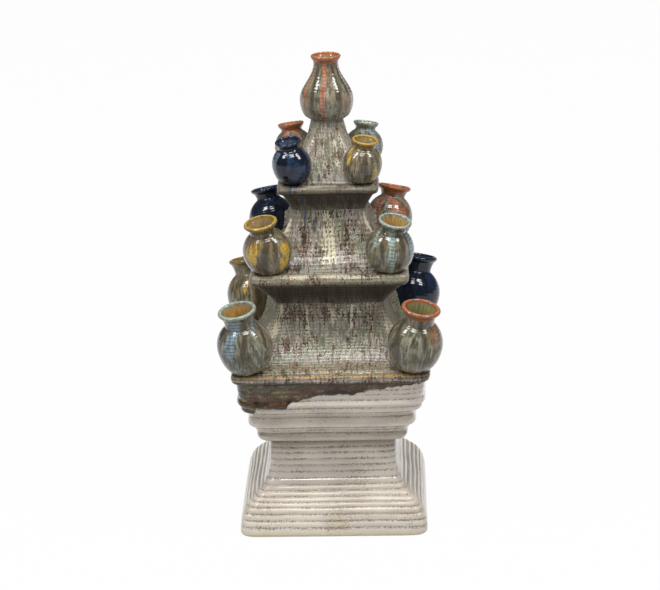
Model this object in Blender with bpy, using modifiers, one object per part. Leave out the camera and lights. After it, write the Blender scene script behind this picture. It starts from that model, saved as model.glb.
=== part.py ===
"""Four-sided stoneware flower tower.

A ribbed square pedestal carries three square tiers. Each tier is a shelf, a bell-shaped wall and, below
the next shelf, a flared cup. A turned bud vase sits at every shelf corner and a pear-shaped vase ends the
tower. The front of the tower looks along -Y and its underside rests on Z = 0.
"""

import math
from dataclasses import dataclass

import bmesh
import bpy
import numpy as np

MM = 0.001

# Clearance, walls and facets shared by every piece
JOINT_GAP = 0.3 * MM
WALL = 8 * MM
VASE_WALL = 3.6 * MM
VASE_FLOOR = 4.5 * MM
VASE_FOOT_HEIGHT = 2 * MM
LIP_WIDTH = 2.8 * MM
PLAN_POINTS = 24
TURN_STEPS = 16

# Plan outline: 2 is a circle, larger values come closer to a square
FOOT_SQUARENESS = 18
WAIST_SQUARENESS = 11
SHELF_SQUARENESS = 18
BELL_SQUARENESS = 12
ROUND = 2

# Pedestal foot: its ribbed slope is steepest at one height and eases out within a reach above and below
FOOT_HEIGHT = 97 * MM
FOOT_HALF_WIDTH = 100.5 * MM
FOOT_EDGE = 2.5 * MM
FOOT_SLOPE_HEIGHT = 41 * MM
FOOT_SLOPE_REACH = 15.4 * MM
WAIST_HALF_WIDTH = 68 * MM
RIB_PITCH = 6.85 * MM
RIB_DEPTH = 1.1 * MM

# Pedestal coping: rolls that step outward, each a slanted underside and an upright band
COPING_HEIGHT = 74.5 * MM
COPING_ROLLS = 3
COPING_FIRST_HALF_WIDTH = 81 * MM
COPING_FIRST_RISE = 8.5 * MM
COPING_BAND_HEIGHT = 9.8 * MM
COPING_BAND_TAPER = 2.8 * MM
COPING_TOP_BAND_HEIGHT = 27 * MM

# Shelves: how deep the lip is rounded, and how far it stands out past the wall that carries it
LIP_DEPTH = 5 * MM
SHELF_OVERHANG = 4.5 * MM

# How the bells and cups curve; a bell's corners reach out with rise * (1 - rise) ** 2, at most 4 / 27
BELL_CORNER_FADE = 3
CORNER_REACH_PEAK = 4 / 27
CUP_FLARE_POWER = 1.25

# Rings and points along the curved walls
SLOPE_SAMPLES = 400
FOOT_INNER_RINGS = 9
BELL_RINGS = 9
BELL_RING_CROWDING = 1.5
CUP_RINGS = 4
LIP_RINGS = 5
ARC_POINTS = 5
SHOULDER_POINTS = 4

# Finial vase, its foot set in from the edge of the neck that carries it
FINIAL_FOOT_INSET = 1 * MM
FINIAL_BELLY_RADIUS = 28.2 * MM
FINIAL_BELLY_HEIGHT = 21 * MM
FINIAL_NECK_RADIUS = 13 * MM
FINIAL_SHOULDER_HEIGHT = 37.5 * MM
FINIAL_NECK_HEIGHT = 9 * MM
FINIAL_MOUTH_RADIUS = 15.4 * MM


@dataclass(frozen=True)
class Tier:
    """Sizes of one tier; a bell narrows from its toe, set in from the shelf's edge, to its top.

    The corner reach is how far a bell's corners are drawn out to the vases, a third of the way up.
    """

    name: str
    shelf_half_width: float
    shelf_thickness: float
    vent_radius: float
    bell_height: float
    toe_inset: float
    top_half_width: float
    top_squareness: float
    taper: float
    flare_power: float
    corner_reach: float


@dataclass(frozen=True)
class Vase:
    """Sizes of a tier's four bud vases; the foot's centre is inset from both edges of the shelf."""

    inset: float
    lean: float
    foot_radius: float
    belly_radius: float
    belly_height: float
    neck_radius: float
    neck_height: float
    mouth_radius: float


LOWER_TIER = Tier(
    name="lower", shelf_half_width=105 * MM, shelf_thickness=11.5 * MM, vent_radius=24 * MM,
    bell_height=64.5 * MM, toe_inset=13 * MM, top_half_width=59 * MM, top_squareness=14,
    taper=4 * MM, flare_power=4, corner_reach=16 * MM)
MIDDLE_TIER = Tier(
    name="middle", shelf_half_width=83.5 * MM, shelf_thickness=12 * MM, vent_radius=18 * MM,
    bell_height=60 * MM, toe_inset=17.5 * MM, top_half_width=39.5 * MM, top_squareness=14,
    taper=5 * MM, flare_power=4, corner_reach=12 * MM)
UPPER_TIER = Tier(
    name="upper", shelf_half_width=53 * MM, shelf_thickness=10 * MM, vent_radius=12 * MM,
    bell_height=61.5 * MM, toe_inset=12 * MM, top_half_width=17 * MM, top_squareness=ROUND,
    taper=14 * MM, flare_power=3.5, corner_reach=6 * MM)

LOWER_CUP_HEIGHT = 24.5 * MM
MIDDLE_CUP_HEIGHT = 18 * MM

LOWER_VASE = Vase(
    inset=21 * MM, lean=math.radians(13), foot_radius=12 * MM, belly_radius=29.1 * MM,
    belly_height=29 * MM, neck_radius=14 * MM, neck_height=16.5 * MM, mouth_radius=19.9 * MM)
MIDDLE_VASE = Vase(
    inset=24.1 * MM, lean=math.radians(14.5), foot_radius=11 * MM, belly_radius=25.5 * MM,
    belly_height=22.5 * MM, neck_radius=12.6 * MM, neck_height=12.1 * MM, mouth_radius=17.3 * MM)
UPPER_VASE = Vase(
    inset=18.6 * MM, lean=math.radians(10), foot_radius=8.5 * MM, belly_radius=20.8 * MM,
    belly_height=20 * MM, neck_radius=10.6 * MM, neck_height=8.5 * MM, mouth_radius=13.4 * MM)

# Glaze colours, linear RGB
WHITE = (0.52, 0.48, 0.42)
TOWER = (0.22, 0.20, 0.15)
ORANGE = (0.42, 0.13, 0.06)
YELLOW = (0.38, 0.25, 0.05)
CELADON = (0.24, 0.32, 0.26)
COBALT = (0.010, 0.016, 0.045)
GLAZE_ROUGHNESS = 0.22

CORNERS = {"front_left": (-1, -1), "front_right": (1, -1), "back_left": (-1, 1), "back_right": (1, 1)}
VASE_COLOURS = {
    "lower": {"front_left": CELADON, "front_right": ORANGE, "back_left": YELLOW, "back_right": COBALT},
    "middle": {"front_left": YELLOW, "front_right": CELADON, "back_left": COBALT, "back_right": ORANGE},
    "upper": {"front_left": COBALT, "front_right": YELLOW, "back_left": ORANGE, "back_right": CELADON},
}


def clear_scene():
    """Remove every object of the scene that is open."""
    for item in list(bpy.data.objects):
        bpy.data.objects.remove(item, do_unlink=True)


def new_collection(name, parent):
    """Add an empty collection below another one."""
    collection = bpy.data.collections.new(name)
    parent.children.link(collection)
    return collection


def glaze(name, colour):
    """A glossy fired glaze of one colour."""
    material = bpy.data.materials.new(name + "_glaze")
    material.use_nodes = True
    shader = material.node_tree.nodes["Principled BSDF"]
    shader.inputs["Base Color"].default_value = (*colour, 1.0)
    shader.inputs["Roughness"].default_value = GLAZE_ROUGHNESS
    shader.inputs["Metallic"].default_value = 0.0
    material.diffuse_color = (*colour, 1.0)
    return material


def add_object(name, mesh, collection, root):
    """Put a mesh into a collection, carried by the tower's root."""
    item = bpy.data.objects.new(name, mesh)
    item.parent = root
    collection.objects.link(item)
    return item


def plan_ring(half_width, squareness, height, corner_reach=0):
    """Closed plan outline at one height, a superellipse whose corners can be drawn outward."""
    angles = np.linspace(0, 2 * math.pi, PLAN_POINTS, endpoint=False)
    circle = np.column_stack((np.cos(angles), np.sin(angles))).round(12)
    reach = half_width + corner_reach * np.sin(2 * angles[:, None]) ** 2
    outline = reach * np.sign(circle) * np.abs(circle) ** (2 / squareness)
    return np.column_stack((outline, np.full(PLAN_POINTS, height)))


def loft_wall(name, rings, colour, collection, root):
    """Skin the rings that run up the outside of a wall and down its inside, and close them to a tube."""
    shape = bmesh.new()
    loops = [[shape.verts.new(point) for point in ring] for ring in rings]
    for loop, following in zip(loops, loops[1:] + loops[:1]):
        for here in range(PLAN_POINTS):
            beyond = (here + 1) % PLAN_POINTS
            shape.faces.new((loop[here], loop[beyond], following[beyond], following[here]))
    bmesh.ops.recalc_face_normals(shape, faces=shape.faces)
    mesh = bpy.data.meshes.new(name)
    shape.to_mesh(mesh)
    shape.free()
    mesh.shade_smooth()
    mesh.set_sharp_from_angle(angle=math.radians(30))
    mesh.materials.append(glaze(name, colour))
    return add_object(name, mesh, collection, root)


def foot_half_width(height):
    """Smooth outer half-width of the foot: upright at the table, a slope inward, upright at the waist."""
    slope = 0.5 * (1 - np.tanh((height - FOOT_SLOPE_HEIGHT) / FOOT_SLOPE_REACH))
    return WAIST_HALF_WIDTH + (FOOT_HALF_WIDTH - WAIST_HALF_WIDTH) * slope


def foot_squareness(height):
    """Crisp corners at the table that soften toward the waist."""
    return FOOT_SQUARENESS + (WAIST_SQUARENESS - FOOT_SQUARENESS) * height / FOOT_HEIGHT


def pedestal_foot(collection, root):
    """Ribbed foot, its ribs evenly spaced along the slope."""
    fine = np.linspace(0, FOOT_HEIGHT, SLOPE_SAMPLES)
    width = foot_half_width(fine)
    slope_length = np.concatenate(([0], np.cumsum(np.hypot(np.diff(fine), np.diff(width)))))
    ribs = round(slope_length[-1] / RIB_PITCH)
    stations = np.linspace(0, slope_length[-1], 2 * ribs + 1)[1:]
    heights = np.interp(stations, slope_length, fine)
    grooves = RIB_DEPTH * (np.arange(len(stations)) % 2)

    outside = [plan_ring(foot_half_width(0) - FOOT_EDGE, FOOT_SQUARENESS, 0)]
    for height, groove in zip(heights, grooves):
        half_width = foot_half_width(height) - groove
        outside.append(plan_ring(half_width, foot_squareness(height), height))

    inside = []
    for height in np.linspace(FOOT_HEIGHT, 0, FOOT_INNER_RINGS):
        reach = 0.5 * RIB_PITCH
        slope = (foot_half_width(height + reach) - foot_half_width(height - reach)) / (2 * reach)
        half_width = foot_half_width(height) - WALL * math.hypot(1, slope)
        inside.append(plan_ring(half_width, foot_squareness(height), height))
    loft_wall("pedestal_foot", outside + inside, WHITE, collection, root)
    return FOOT_HEIGHT


def pedestal_coping(bottom, carried, collection, root):
    """Coping of stepped rolls from the waist to just inside the lip of the shelf that it carries."""
    top = bottom + COPING_HEIGHT
    last_half_width = carried.shelf_half_width - SHELF_OVERHANG - COPING_BAND_TAPER
    half_widths = np.linspace(COPING_FIRST_HALF_WIDTH, last_half_width, COPING_ROLLS)
    band_bottoms = np.linspace(bottom + COPING_FIRST_RISE, top - COPING_TOP_BAND_HEIGHT, COPING_ROLLS)
    band_tops = band_bottoms + COPING_BAND_HEIGHT
    band_tops[-1] = top

    outside = [plan_ring(WAIST_HALF_WIDTH, WAIST_SQUARENESS, bottom + JOINT_GAP)]
    inside = [plan_ring(WAIST_HALF_WIDTH - WALL, WAIST_SQUARENESS, bottom + JOINT_GAP)]
    for half_width, band_bottom, band_top in zip(half_widths, band_bottoms, band_tops):
        outside.append(plan_ring(half_width, WAIST_SQUARENESS, band_bottom))
        outside.append(plan_ring(half_width + COPING_BAND_TAPER, WAIST_SQUARENESS, band_top))
        inside.append(plan_ring(half_width + COPING_BAND_TAPER - WALL, WAIST_SQUARENESS, band_top))
    loft_wall("pedestal_coping", outside + inside[::-1], WHITE, collection, root)
    return top


def shelf(tier, bottom, collection, root):
    """Slab with a half-round lip and a round vent hole in the middle."""
    under = bottom + JOINT_GAP
    top = bottom + tier.shelf_thickness
    middle = (under + top) / 2
    rings = [plan_ring(tier.vent_radius, ROUND, under)]
    for angle in np.linspace(-0.5 * math.pi, 0.5 * math.pi, LIP_RINGS):
        half_width = tier.shelf_half_width - LIP_DEPTH * (1 - math.cos(angle))
        rings.append(plan_ring(half_width, SHELF_SQUARENESS, middle + (top - middle) * math.sin(angle)))
    rings.append(plan_ring(tier.vent_radius, ROUND, top))
    slab = loft_wall(tier.name + "_shelf", rings, TOWER, collection, root)
    return slab, top


def bell(tier, bottom, collection, root):
    """Wall that flares out onto its shelf and toward the vases; the hollow inside follows only the taper."""
    under = bottom + JOINT_GAP
    top = bottom + tier.bell_height
    toe_half_width = tier.shelf_half_width - tier.toe_inset
    flare_width = toe_half_width - tier.top_half_width - tier.taper
    outside = []
    for rise in np.linspace(0, 1, BELL_RINGS) ** BELL_RING_CROWDING:
        left = 1 - rise
        half_width = tier.top_half_width + tier.taper * left + flare_width * left ** tier.flare_power
        squareness = tier.top_squareness + (BELL_SQUARENESS - tier.top_squareness) * left ** BELL_CORNER_FADE
        corner_reach = tier.corner_reach * rise * left ** 2 / CORNER_REACH_PEAK
        outside.append(plan_ring(half_width, squareness, under + rise * (top - under), corner_reach))
    inner_top = tier.top_half_width - WALL
    inside = [
        plan_ring(inner_top, tier.top_squareness, top),
        plan_ring(inner_top + tier.taper, tier.top_squareness, under),
    ]
    wall = loft_wall(tier.name + "_bell", outside + inside, TOWER, collection, root)
    return wall, top


def cup(tier, carried, height, bottom, collection, root):
    """Cup that widens from a bell's top to just inside the lip of the shelf that it carries."""
    under = bottom + JOINT_GAP
    top = bottom + height
    rim_half_width = carried.shelf_half_width - SHELF_OVERHANG
    widening = rim_half_width - tier.top_half_width
    wall = WALL * math.hypot(1, widening / height)
    outside = []
    inside = []
    for rise in np.linspace(0, 1, CUP_RINGS):
        half_width = tier.top_half_width + widening * rise ** CUP_FLARE_POWER
        level = under + rise * (top - under)
        outside.append(plan_ring(half_width, tier.top_squareness, level))
        inside.append(plan_ring(half_width - wall, tier.top_squareness, level))
    loft_wall(tier.name + "_cup", outside + inside[::-1], TOWER, collection, root)
    return top


def belly_outline(vase, grow):
    """Points (radius, height) down the outside of a vase from its shoulder to the edge of its foot."""
    shoulder = math.acos(vase.neck_radius / vase.belly_radius)
    upper = np.linspace(shoulder, 0, SHOULDER_POINTS)
    lower = np.linspace(0, -0.5 * math.pi, ARC_POINTS)[1:]
    rounded = vase.belly_radius - vase.foot_radius
    centre = VASE_FOOT_HEIGHT + vase.belly_height
    points = [(vase.belly_radius * math.cos(a), centre + vase.belly_radius * math.sin(a)) for a in upper]
    points += [(vase.foot_radius + rounded * math.cos(a), centre + vase.belly_height * math.sin(a))
               for a in lower]
    points.append((vase.foot_radius, 0.0))
    stretch = 1 + grow / min(vase.belly_radius, vase.belly_height)
    return [(r * stretch, centre + (h - centre) * stretch) for r, h in points]


def mouth_outline(neck_radius, mouth_radius, bottom, top):
    """Points (radius, height) down a trumpet mouth, from just below the lip almost to the neck."""
    flare = mouth_radius - neck_radius
    return [(neck_radius + flare * rise ** 2, bottom + (top - bottom) * rise) for rise in (1, 0.5)]


def vase_height(vase):
    """Height of the lip above the foot, along the vase's own axis."""
    shoulder = math.acos(vase.neck_radius / vase.belly_radius)
    return VASE_FOOT_HEIGHT + vase.belly_height + vase.belly_radius * math.sin(shoulder) + vase.neck_height


def vase_profile(vase):
    """Half section of a bud vase: up the hollow from the floor, over the lip and down the outside."""
    outer_belly = belly_outline(vase, 0)
    lip_top = vase_height(vase)
    lip_side = lip_top - 0.5 * LIP_WIDTH
    inner_belly_radius = vase.belly_radius - VASE_WALL
    inner_neck_radius = vase.neck_radius - VASE_WALL
    inner_shoulder = math.acos(inner_neck_radius / inner_belly_radius)
    centre = VASE_FOOT_HEIGHT + vase.belly_height
    depth = vase.belly_height - VASE_FLOOR
    inside = [(inner_belly_radius * math.cos(a), centre + depth * math.sin(a))
              for a in np.linspace(-0.5 * math.pi, 0, SHOULDER_POINTS)]
    inside[0] = (0.0, centre - depth)
    inside += [(inner_belly_radius * math.cos(a), centre + inner_belly_radius * math.sin(a))
               for a in np.linspace(0, inner_shoulder, SHOULDER_POINTS)[1:]]
    inner_mouth_radius = vase.mouth_radius - LIP_WIDTH
    inner_mouth = mouth_outline(inner_neck_radius, inner_mouth_radius, inside[-1][1], lip_side)
    outer_mouth = mouth_outline(vase.neck_radius, vase.mouth_radius, outer_belly[0][1], lip_side)
    lip = [(vase.mouth_radius - 0.5 * LIP_WIDTH, lip_top)]
    return inside + inner_mouth[::-1] + lip + outer_mouth + outer_belly + [(0.0, 0.0)]


def cutter_profile(vase):
    """Half section of the seat that a vase's belly needs, one joint gap larger all round."""
    outline = belly_outline(vase, JOINT_GAP)
    return [(0.0, outline[0][1])] + outline + [(0.0, outline[-1][1])]


def turned_mesh(name, profile):
    """Profile edges in the XZ plane, ready to be turned about Z."""
    points = [(radius, 0.0, height) for radius, height in profile]
    edges = [(here, here + 1) for here in range(len(points) - 1)]
    mesh = bpy.data.meshes.new(name)
    mesh.from_pydata(points, edges, [])
    return mesh


def turn(item):
    """Turn an object's profile once round its own Z axis."""
    screw = item.modifiers.new("turn", "SCREW")
    screw.axis = "Z"
    screw.angle = 2 * math.pi
    screw.steps = TURN_STEPS
    screw.render_steps = TURN_STEPS
    screw.use_merge_vertices = True
    screw.merge_threshold = 0.01 * MM
    screw.use_smooth_shade = True


def seat_vase(item, tier, vase, corner, height):
    """Stand a vase or its cutter at a shelf corner, leaning outward along the diagonal."""
    side, depth = corner
    seat = tier.shelf_half_width - vase.inset
    item.location = (side * seat, depth * seat, height)
    item.rotation_euler = (0, vase.lean, math.atan2(depth, side))


def corner_vases(tier, vase, height, parts, cutters, root):
    """The tier's four vases, and the collection of cutters that shape their seats."""
    seats = new_collection(tier.name + "_vase_seats", cutters)
    for corner_name, corner in CORNERS.items():
        name = tier.name + "_vase_" + corner_name
        mesh = turned_mesh(name, vase_profile(vase))
        mesh.materials.append(glaze(name, VASE_COLOURS[tier.name][corner_name]))
        pot = add_object(name, mesh, parts, root)
        turn(pot)
        seat_vase(pot, tier, vase, corner, height)

        cutter = add_object(name + "_seat", turned_mesh(name + "_seat", cutter_profile(vase)), seats, root)
        turn(cutter)
        seat_vase(cutter, tier, vase, corner, height)
        cutter.hide_render = True
        cutter.display_type = "WIRE"
    return seats


def cut_seats(item, seats):
    """Hollow a tier's shelf or bell where its vases are luted on."""
    cut = item.modifiers.new("vase_seats", "BOOLEAN")
    cut.operation = "DIFFERENCE"
    cut.solver = "EXACT"
    cut.operand_type = "COLLECTION"
    cut.collection = seats


def finial_profile(carrier):
    """Half section of the pear-shaped vase: up the hollow, over the lip and down the outside."""
    foot_radius = carrier.top_half_width - FINIAL_FOOT_INSET
    neck_bottom = FINIAL_BELLY_HEIGHT + FINIAL_SHOULDER_HEIGHT
    top = neck_bottom + FINIAL_NECK_HEIGHT
    swell = FINIAL_BELLY_RADIUS - foot_radius
    draw_in = FINIAL_BELLY_RADIUS - FINIAL_NECK_RADIUS
    outside = [(foot_radius + swell * math.cos(a), FINIAL_BELLY_HEIGHT * (1 + math.sin(a)))
               for a in np.linspace(-0.5 * math.pi, 0, ARC_POINTS)]
    outside += [(FINIAL_NECK_RADIUS + draw_in * 0.5 * (1 + math.cos(a)),
                 FINIAL_BELLY_HEIGHT + FINIAL_SHOULDER_HEIGHT * a / math.pi)
                for a in np.linspace(0, math.pi, ARC_POINTS + 1)[1:]]
    inside = [(0.0, VASE_FLOOR), (foot_radius - VASE_WALL, VASE_FLOOR)]
    inside += [(radius - VASE_WALL, height) for radius, height in outside if height > VASE_FLOOR]
    lip_side = top - 0.5 * LIP_WIDTH
    lip = [
        (FINIAL_MOUTH_RADIUS - LIP_WIDTH, lip_side),
        (FINIAL_MOUTH_RADIUS - 0.5 * LIP_WIDTH, top),
        (FINIAL_MOUTH_RADIUS, lip_side),
    ]
    return inside + lip + outside[::-1] + [(0.0, 0.0)]


def finial_vase(carrier, bottom, collection, root):
    """The vase that ends the tower, standing on the upper bell."""
    mesh = turned_mesh("finial_vase", finial_profile(carrier))
    mesh.materials.append(glaze("finial_vase", ORANGE))
    item = add_object("finial_vase", mesh, collection, root)
    turn(item)
    item.location = (0, 0, bottom + JOINT_GAP)


def build_tier(tier, vase, bottom, parts, cutters, root):
    """Shelf, bell and corner vases of one tier; returns the height of the bell's top."""
    slab, shelf_top = shelf(tier, bottom, parts, root)
    wall, top = bell(tier, shelf_top, parts, root)
    seats = corner_vases(tier, vase, shelf_top, parts, cutters, root)
    cut_seats(slab, seats)
    cut_seats(wall, seats)
    return top


def main():
    """Stack the tower from the table up."""
    clear_scene()
    scene_collection = bpy.context.scene.collection
    parts = new_collection("flower_tower", scene_collection)
    cutters = new_collection("cutters", scene_collection)
    root = bpy.data.objects.new("flower_tower_root", None)
    parts.objects.link(root)

    height = pedestal_foot(parts, root)
    height = pedestal_coping(height, LOWER_TIER, parts, root)
    height = build_tier(LOWER_TIER, LOWER_VASE, height, parts, cutters, root)
    height = cup(LOWER_TIER, MIDDLE_TIER, LOWER_CUP_HEIGHT, height, parts, root)
    height = build_tier(MIDDLE_TIER, MIDDLE_VASE, height, parts, cutters, root)
    height = cup(MIDDLE_TIER, UPPER_TIER, MIDDLE_CUP_HEIGHT, height, parts, root)
    height = build_tier(UPPER_TIER, UPPER_VASE, height, parts, cutters, root)
    finial_vase(UPPER_TIER, height, parts, root)


main()
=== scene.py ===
"""Looks of a four-sided stoneware flower tower: ribbed pedestal, run-glazed tiers and bud vases.

Every piece is a closed surface worked out with numpy. It stands for the CAD node of the same name, in the
same place. Lengths are in metres, the front looks along -Y, and bearings count in degrees from the front
towards +X.
"""

import math

import bpy
import numpy as np
from bpy.props import FloatProperty, FloatVectorProperty, PointerProperty
from mathutils import Matrix, Vector


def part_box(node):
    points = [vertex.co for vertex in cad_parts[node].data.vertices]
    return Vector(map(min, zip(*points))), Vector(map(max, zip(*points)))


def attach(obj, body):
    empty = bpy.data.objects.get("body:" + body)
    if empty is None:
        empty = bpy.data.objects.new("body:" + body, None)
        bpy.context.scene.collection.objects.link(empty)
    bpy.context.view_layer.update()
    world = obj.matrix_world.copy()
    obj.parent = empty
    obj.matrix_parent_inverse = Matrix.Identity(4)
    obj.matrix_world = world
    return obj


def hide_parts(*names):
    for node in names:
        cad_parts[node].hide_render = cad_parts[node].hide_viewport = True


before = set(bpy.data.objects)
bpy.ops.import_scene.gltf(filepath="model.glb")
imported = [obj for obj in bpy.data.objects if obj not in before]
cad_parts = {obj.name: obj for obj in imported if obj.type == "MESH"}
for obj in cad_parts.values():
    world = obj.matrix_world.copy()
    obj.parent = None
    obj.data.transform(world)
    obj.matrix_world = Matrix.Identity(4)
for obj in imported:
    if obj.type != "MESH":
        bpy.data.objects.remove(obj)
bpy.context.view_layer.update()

bl_info = {
    "name": "Flower Tower",
    "version": (1, 0, 0),
    "blender": (4, 5, 0),
    "location": "View3D > Sidebar > Flower Tower",
    "description": "Glazed stoneware flower tower built around its CAD frame",
    "category": "Object",
}

MM = 0.001
FIRED = "_fired"
TIERS = ("lower", "middle", "upper")
CORNERS = {"front_left": (-1, -1), "front_right": (1, -1), "back_left": (-1, 1), "back_right": (1, 1)}

# Mesh fineness: points round a square piece and a vase, and the spacing of rings up their outsides
PLAN_COUNT = 400
TURN_COUNT = 144
RING_SPACING = 0.75 * MM

# Spacing of rings up a softened outside or inside, and the reach over which its corners are rounded
FOOT_SOFTENING = (0.62 * MM, 1.5 * MM)
COPING_SOFTENING = (0.7 * MM, 1.6 * MM)
SHELF_SOFTENING = (0.7 * MM, 1.4 * MM)
VASE_SOFTENING = (0.7 * MM, 1.8 * MM)
HOLLOW_SOFTENING = (1.4 * MM, 2.8 * MM)

# Points of the CAD no further apart than this lie on one level or in one plane
CAD_TOLERANCE = 0.01 * MM

# Edges sharper than the angle stay crisp; flow coordinates take the reach as their value at a corner
EDGE_ANGLE = math.radians(62)
FLOW_REACH = 120 * MM

# Walls, and how far a piece reaches into its neighbour where the two are luted together
WALL = 8 * MM
FOOT_WALL = 9.6 * MM
VASE_WALL = 3.6 * MM
VASE_FLOOR = 4.5 * MM
VASE_FOOT_HEIGHT = 2 * MM
LUTING = 0.6 * MM

# Lip of a vase: its width as a share of the mouth's radius, the points of its half circle that belong to the
# outside, and the roll below it: how far it stands out, how far down it lies and its half-width
LIP_SHARE = 0.2
LIP_OUTER_POINTS = 6
LIP_ROLL = 0.9 * MM
LIP_ROLL_FALL = 4 * MM
LIP_ROLL_WIDTH = 2.4 * MM
POLE_RADIUS = 0.4 * MM

# Where the detail of a vase fades, by the way down from the top of the lip, which is negative inside, or by
# the height above the foot: ridges, wander, rim colour inside, lining, and half-width of the rim's pale
# crest, which is partly glaze thinning over the lip and partly painted highlight
RIDGE_FADE_BELOW = (1 * MM, 6 * MM)
RIDGE_FADE_ABOVE = (0, 6 * MM)
WANDER_FADE_ABOVE = (0, 4 * MM)
RIM_INSIDE = (-6 * MM, -3 * MM)
LINING_FADE = (-3 * MM, -6.5 * MM)
RIM_CREST = 1.6 * MM

# Random wander of the surfaces that a hand has made: the reach of its waves and the seed of its draws, or the
# reach alone where each piece of a kind has a seed of its own
FOOT_RIB_WAVE = (90 * MM, 3)
FOOT_WALL_WAVE = (120 * MM, 4)
COPING_LINE_WAVE = (110 * MM, 5)
COPING_WALL_WAVE = (70 * MM, 6)
SHELF_RIDGE_WAVE = (90 * MM, 7)
SHELF_LIP_WAVE = (60 * MM, 8)
CUP_RIDGE_WAVE = (80 * MM, 50)
CUP_WALL_WAVE = (70 * MM, 51)
BELL_RIDGE_REACH = 70 * MM
BELL_DEPTH_REACH = 30 * MM
BELL_WALL_REACH = 80 * MM
VASE_RIDGE_REACH = 40 * MM
VASE_WALL_REACH = 45 * MM
BELL_SEED = 20
VASE_SEED = 100
FINIAL_SEED = 90

# Plan outline: 2 is a circle, larger values come closer to a square
ROUND = 2.0
FOOT_SQUARENESS = 18.0
WAIST_SQUARENESS = 11.0
SHELF_SQUARENESS = 18.0
BELL_SQUARENESS = 12.0

# Pedestal foot, and the heights of the grooves cut into it
FOOT_HALF_WIDTH = 100.5 * MM
FOOT_SLOPE_HEIGHT = 41 * MM
FOOT_SLOPE_REACH = 15.4 * MM
FOOT_EDGE = 2.5 * MM
FOOT_GROOVES = MM * np.array(
    [10.8, 18.2, 25.2, 31.5, 36.2, 40.7, 45.6, 50.5, 56.4, 63.3, 70.2, 76.9, 83.9, 90])
RIB_ROUNDNESS = 2.1
RIB_FADE = (4 * MM, 14 * MM)

# Heights between which painted shade darkens the white glaze: upper and lower end of the foot's slope, its
# waist under the coping, and the underside of the coping
SLOPE_SHADE_TOP = (58 * MM, 48 * MM)
SLOPE_SHADE_BOTTOM = (18 * MM, 25 * MM)
WAIST_SHADE = (82 * MM, 92 * MM)
COPING_SHADE = (122 * MM, 104 * MM)

# Rolls of the coping and the creases between them: height, how far they stand out or in, and half-width
COPING_ROLLS = MM * np.array([
    [148.6, 2.0, 3.2], [140.4, 1.4, 2.0], [122.4, 2.4, 3.0], [103.8, 2.4, 2.4],
    [144.2, -0.8, 1.2], [131.0, -2.4, 4.6], [109.0, -3.0, 3.4], [98.4, -1.2, 1.6], [154.4, -0.7, 1.5]])
# Creases: how deep the painted shade starts in them and where it is full
CREASE_SHADE = (-0.4 * MM, -2.4 * MM)

# Fine lines cut into the coping, by height, and the glaze that runs over it from the shelf above:
# place round the plan (front middle is 6, a side is 2 long), how far the run hangs down, and how thick it is
COPING_LINES = MM * np.array([98.6, 109.2, 114.8, 118.4, 130.6, 137.0, 143.9, 153.2, 159.4, 164.4])
COPING_LINE_WIDTH = 0.9 * MM
RUN_PLACES = np.array([
    0, 0.3, 0.6, 1, 1.4, 1.8, 2.2, 2.6, 3, 3.4, 3.8, 4.2, 4.6, 4.9, 5.02, 5.12, 5.19, 5.505, 5.546, 5.724,
    5.83, 6.015, 6.23, 6.337, 6.67, 7.02, 7.3, 7.6])
RUN_DROPS = MM * np.array([
    9, 14, 8, 5, 16, 22, 12, 7, 14, 24, 15, 11, 20, 33, 36, 33, 26, 28, 21, 17.4,
    13, 11.4, 11.7, 8.4, 3, 0.8, 2, 6])
RUN_THICKNESS = 0.5 * MM
RUN_RISE = (-0.5 * MM, 2 * MM)

# Heights between which the foot's lowest edge turns buff, how far the edge of the run wanders, and the width
# over which it covers the white
BUFF_EDGE = (9 * MM, 1 * MM)
RUN_EDGE_WANDER = 7 * MM
RUN_EDGE = (-0.6 * MM, 0.8 * MM)

SHELF_LIP_DEPTH = 5 * MM
SHELF_FLAT_INSET = 12 * MM
SHELF_RIDGE_PITCH = 3.6 * MM
CUP_RIDGE_PITCH = 3.4 * MM
VENT_RADII = {"lower": 24 * MM, "middle": 18 * MM, "upper": 12 * MM}

# Bells: squareness and taper of the top, how sharply the wall flares onto its shelf, how far its corners
# reach out to the vases a third of the way up, and pitch and strength of its ridges against the plain ones
BELLS = {
    "lower": dict(squareness=14.0, taper=4 * MM, flare_power=4.0, corner_reach=16 * MM,
                  ridge=0.9, ridge_share=1.0),
    "middle": dict(squareness=14.0, taper=5 * MM, flare_power=4.0, corner_reach=12 * MM,
                   ridge=1.35, ridge_share=1.0),
    "upper": dict(squareness=ROUND, taper=14 * MM, flare_power=3.5, corner_reach=6 * MM,
                  ridge=1.0, ridge_share=0.45),
}
BELL_CORNER_FADE = 3
CORNER_REACH_PEAK = 4 / 27
CUP_FLARE_POWER = 1.25

# How a bell meets a vase: how deep its wall sinks under the vase's skin, and place and half-width of the bead
SEAT_DEPTH = 1.2 * MM
BEAD_PLACE = 0.2 * MM
BEAD_WIDTH = 2 * MM

# Every glaze: bend of light, roughness of the clear coat, and strength of the fine relief
GLAZE_IOR = 1.32
COAT_ROUGHNESS = 0.08
RELIEF_STRENGTH = 0.5

# Glaze of the tiers: which half of its edge colours a tier takes and how much of them, how much painted shade
# darkens its bell and its lip, and where blue drips from the upper shelf over the cup below it: place and
# half-width
POOL_SIGNS = {"lower": 1, "middle": -0.88, "upper": -1}
TIER_SHADES = {"lower": 0.0, "middle": 0.06, "upper": 0.10}
LIP_SHADES = {"lower": 0.0, "middle": 0.0, "upper": 0.36}
SHELF_DRIP = (5.27, 0.10)
CUP_DRIP = (5.39, 0.07)

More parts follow.
